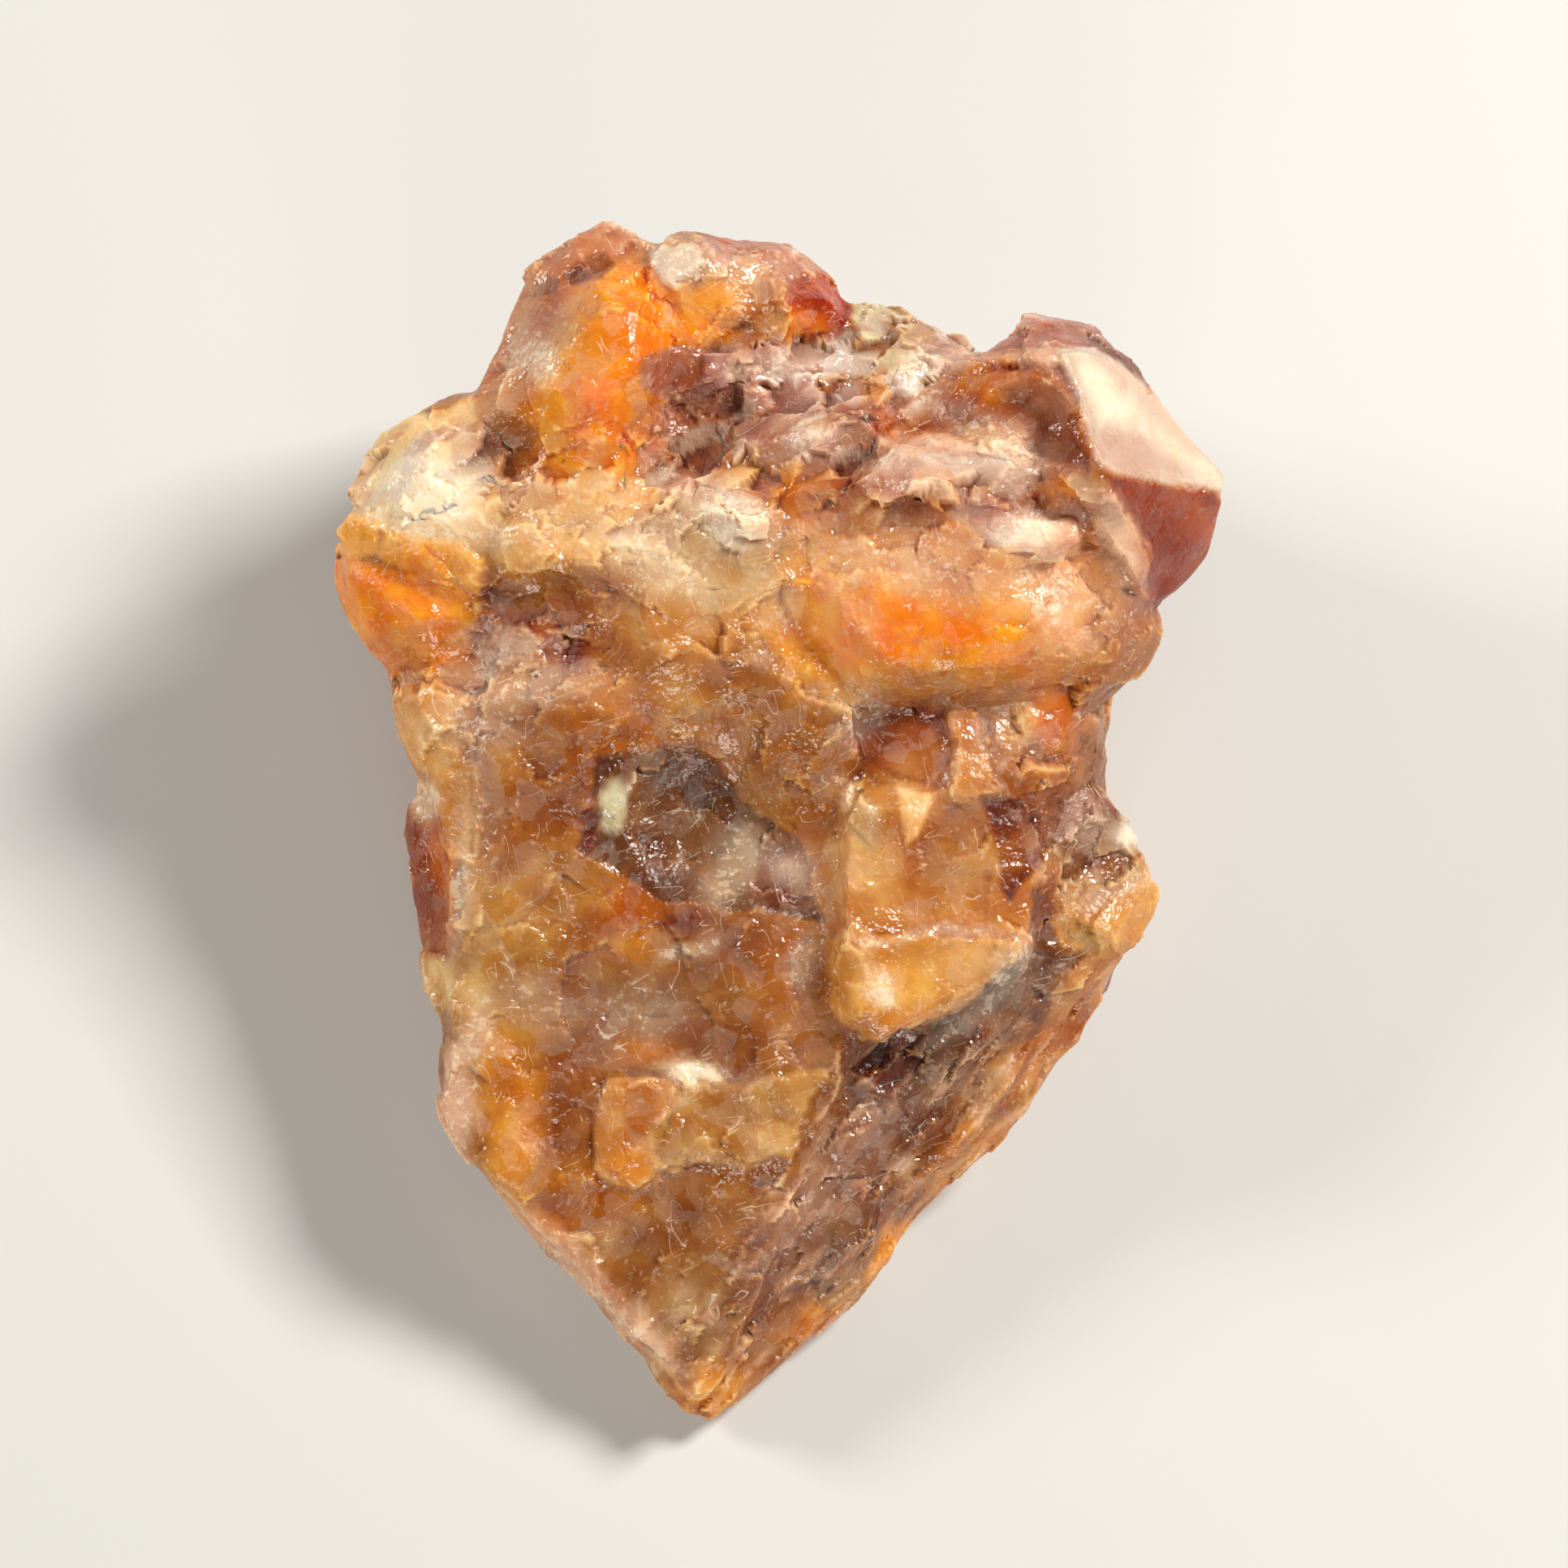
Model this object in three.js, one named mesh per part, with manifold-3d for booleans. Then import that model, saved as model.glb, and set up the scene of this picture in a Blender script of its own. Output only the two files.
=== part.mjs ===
// A hand specimen of rough garnet: intergrown orange crystals on a wedge of broken garnet.
// It lies on its broken back, with its pointed end towards -Y and its crystals towards +Y.
import * as THREE from "three";
import { ConvexGeometry } from "three/addons/geometries/ConvexGeometry.js";
import { mergeVertices } from "three/addons/utils/BufferGeometryUtils.js";
import Module from "manifold-3d";

// Driving dimensions, in millimetres and degrees.
// Every form is drawn on the specimen's face: x to the right, y towards the crystals, z out of the face.
const FACE_LENGTH = 29.9; // pointed end to highest crystal, along y
const DRAWN_LENGTH = 29.9; // the same length in the numbers below
const WEDGE_ANGLE = 18; // between the face and the broken back that it lies on
const BACK_DEPTH = 6; // from the face's middle down to the broken back
const BURIED = -14; // deeper than the broken back anywhere, where the body ends
const ROOT_DEPTH = 5; // how far a block reaches into the body behind it
const ROOT_PULL = 0.35; // share of the way to the middle that its buried end is drawn in
const DOME_ROUGH = 0.35; // how far a lump's facets stray from a smooth curve
const SEED = 7; // of the chips and the uneven facets
const GOLDEN_ANGLE = 2.4; // radians, spreads a chip's corners evenly
const STONE_COLOUR = 0xc8702a;

const wasm = await Module();
wasm.setup();

// A closed three.js geometry as a solid that can be joined and cut.
function solidOf(geometry) {
  const bare = geometry.clone();
  bare.deleteAttribute("normal");
  if (bare.getAttribute("uv")) bare.deleteAttribute("uv");
  const merged = mergeVertices(bare, 1e-4);
  return new wasm.Manifold(
    new wasm.Mesh({
      numProp: 3,
      vertProperties: new Float32Array(merged.attributes.position.array),
      triVerts: new Uint32Array(merged.index.array),
    }),
  );
}

// A solid as a three.js geometry with flat faces.
function geometryOf(solid) {
  const mesh = solid.getMesh();
  const positions = new Float32Array(mesh.numVert * 3);
  for (let i = 0; i < mesh.numVert; i++) {
    const from = i * mesh.numProp;
    positions.set(mesh.vertProperties.subarray(from, from + 3), i * 3);
  }
  return new THREE.BufferGeometry()
    .setAttribute("position", new THREE.BufferAttribute(positions, 3))
    .setIndex(new THREE.BufferAttribute(mesh.triVerts, 1));
}

// A repeatable stream of random numbers from 0 to 1.
function randomFrom(seed) {
  let state = seed;
  return () => {
    state = (state * 1664525 + 1013904223) % 4294967296;
    return state / 4294967296;
  };
}

const random = randomFrom(SEED);

// The convex body that holds the given points, each [x, y, z].
function hull(points) {
  return solidOf(new ConvexGeometry(points.map((p) => new THREE.Vector3(...p))));
}

function middleOf(outline) {
  const sum = outline.reduce((s, [x, y]) => [s[0] + x, s[1] + y], [0, 0]);
  return [sum[0] / outline.length, sum[1] / outline.length];
}

// The outline drawn in to a share of its size, at a height that leans by lean = [dz/dx, dz/dy].
// rough is how far its points stray from that plane.
function ring(outline, share, height, lean = [0, 0], rough = 0) {
  const [cx, cy] = middleOf(outline);
  return outline.map(([x, y]) => {
    const dx = (x - cx) * share;
    const dy = (y - cy) * share;
    return [cx + dx, cy + dy, height + lean[0] * dx + lean[1] * dy + rough * (random() - 0.5)];
  });
}

// The buried end of a block: small, deep, and drawn towards the specimen's middle.
function root(outline, front, depth = ROOT_DEPTH) {
  const [cx, cy] = middleOf(outline);
  return ring(outline, 0.55, front - depth).map(([x, y, z]) => [x - ROOT_PULL * cx, y - ROOT_PULL * cy, z]);
}

// A broken block: a front face and a narrow bevel down to its widest outline.
function block({ outline, front, lean, bevel = 0.1, drop = 0.5, rough = 0 }) {
  return hull([
    ...ring(outline, 1 - bevel, front, lean, rough),
    ...ring(outline, 1, front - drop, lean),
    ...root(outline, front),
  ]);
}

// A rounded lump that rises from its outline like part of an egg, with uneven facets.
function dome({ outline, rim, rise, lean, shares = [0.35, 0.8] }) {
  return hull([
    ...shares.flatMap((s) => ring(outline, s, rim + rise * Math.sqrt(1 - s * s), lean, DOME_ROUGH)),
    ...ring(outline, 1, rim - 0.3, lean),
    ...root(outline, rim),
  ]);
}

// A small rounded nub over an oval of the given half widths.
function nub([x, y], [rx, ry], rim, rise) {
  const sides = 7;
  const outline = Array.from({ length: sides }, (_, i) => {
    const angle = (2 * Math.PI * (i + 0.5 * random())) / sides;
    return [x + rx * Math.cos(angle), y + ry * Math.sin(angle)];
  });
  return dome({ outline, rim, rise, lean: [0, 0] });
}

// An egg shape, for the tools that cut shell-shaped breaks and pits. A higher fineness gives it more facets.
function egg([x, y, z], [rx, ry, rz], turn = 0, fineness = 1) {
  const shape = new THREE.IcosahedronGeometry(1, fineness);
  shape.scale(rx, ry, rz).rotateZ(THREE.MathUtils.degToRad(turn)).translate(x, y, z);
  return solidOf(shape);
}

// A garnet crystal in its own form, the trapezohedron of 24 kite faces.
// reach is its half width along an axis.
function garnetCrystal(place, reach, turns) {
  const points = [];
  const signs = [-1, 1];
  for (const a of signs) {
    points.push([a * reach, 0, 0], [0, a * reach, 0], [0, 0, a * reach]);
    for (const b of signs) {
      const third = (2 * reach) / 3;
      points.push([a * third, b * third, 0], [a * third, 0, b * third], [0, a * third, b * third]);
      for (const c of signs) points.push([a, b, c].map((s) => (s * reach) / 2));
    }
  }
  const turn = new THREE.Euler(...turns.map(THREE.MathUtils.degToRad));
  const move = new THREE.Vector3(...place);
  return hull(points.map((p) => new THREE.Vector3(...p).applyEuler(turn).add(move).toArray()));
}

// An irregular angular chip of crystal, stretched by radii and turned about z and x, in degrees.
function chip(place, radii, turn, tip) {
  const points = [];
  const count = 8;
  for (let i = 0; i < count; i++) {
    const height = 1 - (2 * i + 1) / count;
    const round = i * GOLDEN_ANGLE + random() * 1.1;
    const reach = Math.sqrt(1 - height * height);
    points.push(new THREE.Vector3(reach * Math.cos(round), reach * Math.sin(round), height));
  }
  const turned = new THREE.Euler(THREE.MathUtils.degToRad(tip), 0, THREE.MathUtils.degToRad(turn), "ZXY");
  const size = new THREE.Vector3(...radii);
  const move = new THREE.Vector3(...place);
  return hull(points.map((p) => p.multiply(size).applyEuler(turned).add(move).toArray()));
}

const outOf = (pieces) => wasm.Manifold.union(pieces);

// The outer skin of a solid, without sealed gaps inside it or crumbs beside it.
function skinOf(solid) {
  return solid.decompose().reduce((a, b) => (b.volume() > a.volume() ? b : a));
}

// The mass behind the face, which everything else grows from.
function core() {
  const shield = [
    [-8.2, 7.4], [-5.6, 9.6], [-2.6, 12.4], [1.6, 12.6], [5.6, 11.0], [9.4, 9.0], [9.4, 4.4],
    [8.6, 1.6], [8.8, -3.0], [6.6, -7.4], [2.6, -11.6], [-0.5, -14.2], [-4.8, -9.6], [-6.8, -7.2],
    [-7.0, -2.0], [-7.6, 3.0],
  ];
  const underCrystals = [
    [-8.6, 7.6], [-5.6, 9.6], [-2.2, 12.0], [1.6, 12.4], [5.6, 10.8], [8.8, 8.6], [9.2, 4.4], [8.2, 1.6],
    [2.0, 0.6], [-6.4, 2.6], [-8.8, 5.0],
  ];
  return [
    hull([...ring(shield, 1, -0.2), ...ring(shield, 1.02, -2.4), ...ring(shield, 0.72, BURIED)]),
    hull([
      ...ring(underCrystals, 0.8, 2.2), ...ring(underCrystals, 0.98, 1.2), ...ring(underCrystals, 0.9, -3),
    ]),
  ];
}

// The smooth honey coloured break that runs down to the pointed end.
function lowerFace() {
  const faceLean = [0.02, 0.07];
  const face = block({
    outline: [
      [-6.6, 1.2], [-3.0, 2.0], [2.9, 2.2], [3.0, -6.0], [2.2, -7.8], [1.2, -9.4], [0.0, -11.0],
      [-0.2, -14.2], [-0.9, -14.7], [-2.2, -13.2], [-5.2, -9.8], [-6.7, -8.2], [-6.9, -4.0],
    ],
    front: 1.45, lean: faceLean, bevel: 0.02, drop: 0.3,
  });
  const rim = hull([
    [-7.0, -4.8, 0.2], [-7.2, -7.8, 0.0], [-5.4, -9.7, 0.0], [-3.0, -12.6, -0.2], [-1.0, -15.0, -0.4],
    [-0.44, -15.24, -0.5], [0.2, -14.8, -0.3], [-0.3, -13.2, 0.6], [-5.0, -8.6, 1.1], [-5.4, -5.0, 1.1],
    [-5.6, -9.3, -3.0], [-1.4, -13.6, -3.0], [-6.4, -6.0, -6.0], [0.0, -12.0, -6.0],
  ]);
  const plateHeight = 1.5;
  const plateLobe = block({
    outline: [
      [-2.9, -6.5], [-1.2, -6.4], [-0.3, -7.2], [-0.6, -8.3], [-1.3, -8.6], [-1.8, -9.1],
      [-2.5, -9.3], [-3.1, -8.9], [-3.3, -8.1],
    ],
    front: plateHeight, lean: faceLean, bevel: 0.06, drop: 0.16,
  });
  const plateWing = block({
    outline: [[-1.6, -6.6], [0.1, -6.8], [1.2, -6.5], [2.5, -6.3], [1.8, -7.6], [1.2, -8.4], [-0.8, -8.5]],
    front: plateHeight + 0.04, lean: faceLean, bevel: 0.06, drop: 0.16,
  });
  return [face, rim, plateLobe, plateWing];
}

// The rough dark flank that falls away to the right of the face, with a smooth rib along its edge.
function flank() {
  const slope = hull([
    [2.6, -5.2, 1.3], [2.4, -7.6, 1.1], [1.4, -9.2, 0.9], [0.0, -10.8, 0.7], [-0.4, -14.0, 0.2],
    [7.4, -3.6, 0.9], [10.2, -3.5, -1.4], [8.4, -5.9, -1.6], [6.3, -8.6, -1.6], [3.9, -11.4, -1.4],
    [1.7, -13.6, -1.0], [0.1, -14.9, -0.8], [8.6, -3.4, -6.0], [5.4, -8.0, -5.0], [0.6, -12.6, -3.4],
  ]);
  const rib = [
    hull([
      [10.6, -2.6, -0.6], [10.3, -3.5, -0.9], [8.6, -5.9, -1.2], [9.2, -3.6, 0.1], [7.9, -5.3, -0.2],
      [9.6, -3.4, -3.6], [7.8, -5.8, -3.6],
    ]),
    hull([
      [8.7, -5.8, -1.2], [7.5, -7.2, -1.3], [6.6, -8.6, -1.5], [5.9, -9.1, -1.5], [5.0, -9.5, -1.2],
      [7.9, -5.5, -0.2], [6.4, -7.2, -0.4], [5.2, -8.8, -0.4], [7.2, -6.4, -3.6], [5.4, -8.8, -3.2],
    ]),
    hull([
      [4.2, -10.2, -0.9], [4.0, -11.0, -1.2], [3.7, -11.8, -1.4], [2.6, -12.8, -1.2], [2.6, -11.6, 0.0],
      [3.4, -10.2, 0.0], [3.0, -11.6, -3.0],
    ]),
  ];
  const crests = [
    hull([
      [2.6, -8.2, 1.2], [4.6, -6.6, 0.7], [6.2, -5.6, 0.5], [4.4, -8.2, 0.2], [3.0, -9.6, 0.3],
      [4.0, -7.4, -2.0],
    ]),
    hull([
      [1.0, -10.4, 1.0], [2.6, -9.6, 0.7], [4.0, -9.0, 0.3], [2.8, -11.2, 0.0], [1.0, -12.2, 0.3],
      [2.0, -10.6, -2.0],
    ]),
    hull([[5.6, -4.9, 1.0], [7.6, -4.0, 0.8], [9.0, -4.0, 0.0], [7.0, -6.0, 0.0], [6.4, -5.0, -2.0]]),
  ];
  return [slope, ...rib, ...crests];
}

// The stepped facets on the left of the face and the crystals behind its left edge.
function leftEdge() {
  return [
    block({
      outline: [[-6.2, 2.8], [-3.4, 2.3], [-2.6, 1.4], [-3.3, 0.2], [-3.9, -1.1], [-5.0, -1.4], [-6.2, -1.1]],
      front: 2.05, lean: [0.08, 0.05], bevel: 0.03, drop: 0.15, rough: 0.2,
    }),
    block({
      outline: [[-7.6, 1.9], [-6.1, 2.6], [-6.05, -1.2], [-6.9, -1.4]],
      front: 1.75, lean: [0.35, 0.02], bevel: 0.06, drop: 0.3,
    }),
    dome({
      outline: [[-8.7, 3.3], [-8.3, 1.6], [-7.8, 0.8], [-6.8, 1.2], [-6.0, 2.6], [-6.8, 3.6], [-8.0, 3.8]],
      rim: 0.6, rise: 1.2, lean: [0.3, 0],
    }),
    block({
      outline: [
        [-8.1, 0.0], [-7.9, 0.5], [-6.8, 0.4], [-6.4, -1.2], [-6.6, -3.6], [-7.7, -3.4], [-7.8, -2.0],
        [-8.0, -1.2],
      ],
      front: 0.3, lean: [0.8, 0.1], bevel: 0.18, drop: 0.4, rough: 0.2,
    }),
    block({
      outline: [[-7.86, -3.9], [-7.6, -3.4], [-6.6, -3.6], [-6.6, -5.2], [-7.1, -5.1], [-7.7, -4.5]],
      front: 0.5, lean: [0.9, 0.2], bevel: 0.2, drop: 0.4, rough: 0.2,
    }),
    block({
      outline: [
        [-7.1, -5.0], [-6.2, -4.9], [-5.3, -6.0], [-4.8, -7.2], [-4.9, -8.8], [-5.2, -9.5], [-6.0, -8.95],
        [-6.8, -8.4], [-7.2, -7.9], [-7.24, -7.2],
      ],
      front: 1.42, lean: [0.22, 0.06], bevel: 0.12, drop: 0.2, rough: 0.12,
    }),
  ];
}

// The tan block and the small facets round it, to the right of the face's middle.
function rightBlocks() {
  const tan = block({
    outline: [
      [2.6, 0.3], [4.0, 0.4], [7.3, 0.3], [7.84, -1.2], [7.36, -3.8], [5.6, -4.8], [3.8, -5.7], [2.8, -5.1],
      [2.56, -2.6],
    ],
    front: 2.4, lean: [-0.12, 0.02], bevel: 0.1, drop: 0.5, rough: 0.25,
  });
  const salmon = block({
    outline: [[2.8, 2.6], [3.5, 3.0], [5.5, 2.9], [5.45, 0.3], [3.2, 0.2], [2.7, 1.4]],
    front: 2.2, lean: [0.14, -0.16], bevel: 0.03, drop: 0.3,
  });
  const cream = block({
    outline: [[5.4, 2.8], [6.9, 2.6], [6.85, 0.2], [5.3, 0.1]],
    front: 2.6, lean: [-0.16, -0.08], bevel: 0.05, drop: 0.2,
  });
  const paleCorner = block({
    outline: [[2.7, 0.4], [4.2, 0.5], [5.0, -0.2], [3.9, -1.6], [3.2, -2.4], [2.6, -1.4]],
    front: 2.6, lean: [0.16, 0.2], bevel: 0.2, drop: 0.3, rough: 0.2,
  });
  const nubs = [
    nub([7.35, 2.0], [0.75, 0.8], 1.7, 0.9),
    nub([8.1, 1.2], [0.8, 0.75], 1.2, 0.9),
    nub([7.3, 0.8], [0.75, 0.6], 1.6, 0.8),
    nub([8.2, 2.4], [0.8, 0.75], 1.3, 1.0),
  ];
  const edgeCrystal = block({
    outline: [[9.1, 2.4], [9.5, 1.6], [9.6, 1.2], [9.36, 0.7], [8.4, 0.1], [7.8, 1.2], [8.4, 2.4]],
    front: 1.0, lean: [-0.5, 0.1], bevel: 0.25, drop: 0.5, rough: 0.3,
  });
  return [tan, salmon, cream, paleCorner, ...nubs, edgeCrystal];
}

// The ribbed wing and the yellow knob that stand out on the right.
function rightWing() {
  const wing = block({
    outline: [
      [7.4, -0.2], [8.2, 0.4], [9.36, 0.7], [9.7, 0.0], [10.0, -0.6], [10.4, -1.5], [9.2, -2.3], [8.0, -2.6],
      [7.2, -2.0],
    ],
    front: 0.9, lean: [-0.45, 0.1], bevel: 0.08, drop: 0.4,
  });
  const ribCount = 4;
  const ribs = Array.from({ length: ribCount }, (_, i) => {
    const [x, y, z] = [8.0 + 0.5 * i, -0.5 - 0.3 * i, 1.05 - 0.26 * i];
    return hull([
      [x - 0.5, y + 0.7, z - 0.1], [x + 0.6, y - 0.7, z - 0.2], [x, y, z + 0.12],
      [x - 0.25, y - 0.25, z - 0.5], [x + 0.3, y + 0.3, z - 0.6],
    ]);
  });
  const knob = dome({
    outline: [
      [7.8, -3.0], [8.2, -2.3], [9.2, -1.9], [10.2, -1.65], [10.74, -1.94], [10.7, -2.6], [10.3, -3.4],
      [9.0, -3.9], [8.0, -3.7],
    ],
    rim: 0.1, rise: 1.1, lean: [-0.2, 0.1],
  });
  return [wing, ...ribs, knob];
}

// The glowing orange lump under the ledges, with the smaller lump that leans against its right end.
function amberLump() {
  const lump = dome({
    outline: [
      [1.4, 6.0], [1.7, 7.2], [2.8, 7.8], [5.0, 7.6], [7.2, 6.8], [8.8, 6.4], [9.2, 5.2], [9.0, 3.8],
      [8.4, 3.1], [6.8, 2.75], [5.4, 2.56], [4.2, 2.68], [3.2, 3.1], [2.2, 4.0], [1.56, 5.0],
    ],
    rim: 2.4, rise: 1.7, lean: [0, -0.04], shares: [0.3, 0.62, 0.88],
  });
  const corner = dome({
    outline: [
      [8.0, 6.4], [10.3, 6.4], [10.54, 5.0], [10.5, 4.1], [10.1, 3.6], [9.6, 3.3], [9.2, 2.8], [8.0, 2.9],
      [7.6, 4.4],
    ],
    rim: 1.4, rise: 1.5, lean: [-0.25, 0],
  });
  return [lump, corner];
}

// The frosted pink ledges that step up from the orange lump to the large crystal.
function ledges() {
  return [
    block({
      outline: [[2.6, 8.0], [3.4, 9.0], [5.0, 9.4], [7.2, 9.1], [8.2, 8.3], [6.6, 7.8], [4.4, 7.5]],
      front: 3.9, lean: [0.06, -0.6], bevel: 0.05, drop: 0.25, rough: 0.2,
    }),
    block({
      outline: [
        [4.8, 7.6], [6.0, 7.8], [7.4, 7.9], [8.8, 7.4], [8.7, 6.8], [8.0, 6.3], [6.9, 6.15], [5.8, 6.7],
      ],
      front: 4.2, lean: [-0.05, -0.3], bevel: 0.06, drop: 0.3, rough: 0.25,
    }),
    block({
      outline: [
        [8.6, 8.1], [9.4, 7.9], [10.0, 7.1], [10.3, 6.3], [10.36, 5.6], [9.6, 5.7], [8.9, 6.6], [8.3, 7.4],
      ],
      front: 3.4, lean: [-0.55, 0.1], bevel: 0.08, drop: 0.4, rough: 0.2,
    }),
    block({
      outline: [[1.2, 8.2], [1.6, 9.0], [2.8, 9.4], [3.6, 8.8], [3.2, 7.8], [2.0, 7.4]],
      front: 3.3, lean: [-0.1, -0.4], bevel: 0.15, drop: 0.4, rough: 0.3,
    }),
    block({
      outline: [[2.6, 9.0], [2.9, 10.0], [3.6, 10.2], [4.2, 9.6], [3.8, 8.9]],
      front: 3.1, lean: [0.2, -0.5], bevel: 0.12, drop: 0.4, rough: 0.2,
    }),
  ];
}

// The large crystal, whose bright upper face and red lower face meet in one straight edge.
function largeCrystal() {
  const upperLeft = [8.04, 11.36, 3.9];
  const upperRight = [9.6, 11.1, 2.7];
  const edgeLeft = [8.9, 8.45, 5.0];
  const edgeRight = [12.2, 7.96, 1.9];
  const outerCorner = [12.16, 8.6, 1.2];
  const face = [upperLeft, upperRight, outerCorner, edgeRight, edgeLeft];
  const crest = [[7.36, 12.2, 0.8], [8.2, 12, 0.7], [9.35, 11.3, 0.5], [10.5, 10.25, 0], [11.6, 9.2, -0.6]];
  const leftShoulder = [[4.5, 9.5, 2.2], [5.2, 10.3, 2.4], [6.2, 11.4, 2], [6, 9, 3.6], [7.4, 10.9, 3.8]];
  const redFace = [[11.84, 6.4, 0.6], [11.36, 5.76, 0.5], [10.56, 5, 0.9], [9.6, 5.6, 2.4], [8.8, 7.6, 4.7]];
  const behind = [
    [12.0, 8.0, -0.6], [11.6, 6.2, -1.6], [7.4, 11.6, -3.0], [10.4, 9.6, -3.6], [10.2, 5.2, -3.6],
    [6.0, 7.0, -4.0],
  ];
  return [hull([...face, ...crest, ...leftShoulder, ...redFace, ...behind])];
}

// The lumps and small crystals along the top, from the left crystal to the large one.
function topCrystals() {
  const leftCrystal = hull([
    [-6.04, 11.2, 1.2], [-5.45, 12.5, 1.0], [-4.8, 13.35, 0.9], [-3.6, 14.1, 0.8], [-3.1, 14.56, 1.0],
    [-2.3, 14.2, 1.2], [-1.9, 13.2, 2.6], [-1.5, 12.0, 3.2], [-1.9, 10.6, 3.2], [-2.5, 9.3, 2.9],
    [-3.8, 8.9, 2.8], [-5.2, 8.9, 2.4], [-6.1, 9.5, 1.7], [-6.2, 10.4, 1.4],
    [-5.2, 10.9, 3.3], [-4.0, 11.9, 3.8], [-3.0, 12.6, 3.6], [-3.0, 10.6, 4.2], [-4.4, 9.8, 3.8],
    [-5.4, 9.6, -4.0], [-3.0, 12.8, -4.0], [-1.6, 10.0, -4.0],
  ]);
  const whiteFace = block({
    outline: [[-2.3, 13.6], [-1.4, 14.2], [-0.8, 14.2], [-0.5, 13.3], [-1.1, 12.8], [-2.0, 13.0]],
    front: 2.6, lean: [0.1, -0.7], bevel: 0.08, drop: 0.3,
  });
  const middleLump = dome({
    outline: [
      [-2.2, 13.9], [-0.8, 14.24], [0.3, 14.02], [0.6, 13.2], [0.2, 12.0], [-0.6, 11.1], [-1.6, 11.0],
      [-2.2, 12.0],
    ],
    rim: 1.2, rise: 1.5, lean: [0, -0.3],
  });
  const rightLump = hull([
    [0.2, 13.9, 0.8], [1.0, 14.14, 0.6], [2.0, 13.64, 0.6], [2.72, 13.0, 0.8], [3.04, 12.3, 1.0],
    [2.9, 11.6, 1.4], [2.2, 11.3, 2.4], [1.1, 11.4, 2.6], [0.0, 12.2, 2.6], [0.8, 13.3, 2.6],
    [1.7, 12.9, 2.9], [2.5, 12.4, 2.5], [0.6, 12.4, -4.0], [2.4, 12.0, -4.0], [1.4, 10.6, -4.0],
  ]);
  const grains = [
    hull([
      [3.0, 12.44, 0.2], [3.7, 12.54, 0.2], [4.6, 12.4, 0.2], [5.1, 11.9, 0.6], [4.9, 10.9, 2.0],
      [3.8, 10.5, 2.3], [3.0, 11.2, 1.9], [3.6, 11.8, 1.9], [4.4, 11.8, 1.6], [3.6, 11.4, -3.0],
      [4.6, 11.0, -3.0],
    ]),
    hull([
      [4.9, 11.8, 0.8], [5.75, 11.98, 0.4], [6.2, 11.5, 0.6], [6.0, 10.8, 1.6], [5.2, 10.4, 2.2],
      [4.6, 10.6, 2.1], [5.3, 11.3, 2.0], [5.4, 10.8, -3.0],
    ]),
    chip([3.9, 10.4, 2.1], [0.9, 0.7, 0.6], 20, 15),
  ];
  return [leftCrystal, whiteFace, middleLump, rightLump, ...grains];
}

// The floor of the splintered hollow between the top crystals and the middle band.
function topHollow() {
  return [
    block({
      outline: [[-2.2, 10.6], [-0.8, 11.4], [0.6, 10.9], [0.4, 9.8], [-1.0, 9.2], [-2.0, 9.4]],
      front: 1.6, lean: [0.1, 0.4], rough: 0.3,
    }),
    block({
      outline: [[0.2, 11.4], [1.6, 11.8], [2.4, 11.0], [1.8, 10.2], [0.4, 10.2]],
      front: 2.1, lean: [-0.4, -0.2], rough: 0.3,
    }),
    block({
      outline: [[0.8, 10.2], [2.4, 10.8], [3.4, 9.8], [2.8, 8.8], [1.2, 8.8]],
      front: 2.2, lean: [0.3, -0.45], rough: 0.3,
    }),
    block({
      outline: [[-0.6, 9.8], [0.8, 10.0], [1.6, 9.0], [0.6, 8.2], [-0.6, 8.6]],
      front: 2.3, lean: [-0.3, -0.6], rough: 0.3,
    }),
    chip([-2.0, 9.2, 2.3], [0.9, 0.6, 0.7], 30, 10),
  ];
}

// The cream lump on the upper left, the row of small nubs below it, and the orange bulge under them.
function leftShoulder() {
  const creamLump = hull([
    [-8.7, 9.3, 1.4], [-8.2, 9.66, 1.3], [-7.1, 9.8, 1.2], [-6.3, 10.2, 1.0], [-5.6, 9.2, 1.9],
    [-9.0, 8.6, 1.6], [-9.4, 8.3, 1.4], [-9.65, 7.8, 1.5], [-9.2, 7.3, 2.4], [-8.0, 7.2, 3.1],
    [-6.4, 7.4, 3.3], [-5.6, 8.0, 3.0], [-8.3, 8.6, 2.7], [-7.2, 8.9, 2.6], [-8.6, 8.0, -3.0],
    [-6.0, 8.4, -4.0],
  ]);
  const nubs = [
    nub([-9.15, 7.0], [0.65, 0.5], 1.3, 0.8),
    nub([-8.3, 6.85], [0.85, 0.65], 1.8, 0.9),
    nub([-7.3, 6.5], [0.9, 0.7], 2.0, 0.9),
    nub([-6.5, 6.0], [0.7, 0.7], 2.1, 0.8),
  ];
  const orangeBulge = dome({
    outline: [
      [-9.9, 6.6], [-8.4, 6.9], [-6.8, 6.4], [-6.0, 5.1], [-6.2, 4.0], [-7.2, 3.3], [-8.4, 3.4], [-9.1, 4.0],
      [-9.6, 4.8], [-9.86, 5.8],
    ],
    rim: 0.9, rise: 1.3, lean: [0.15, 0.05], shares: [0.3, 0.7],
  });
  return [creamLump, ...nubs, orangeBulge];
}

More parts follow.
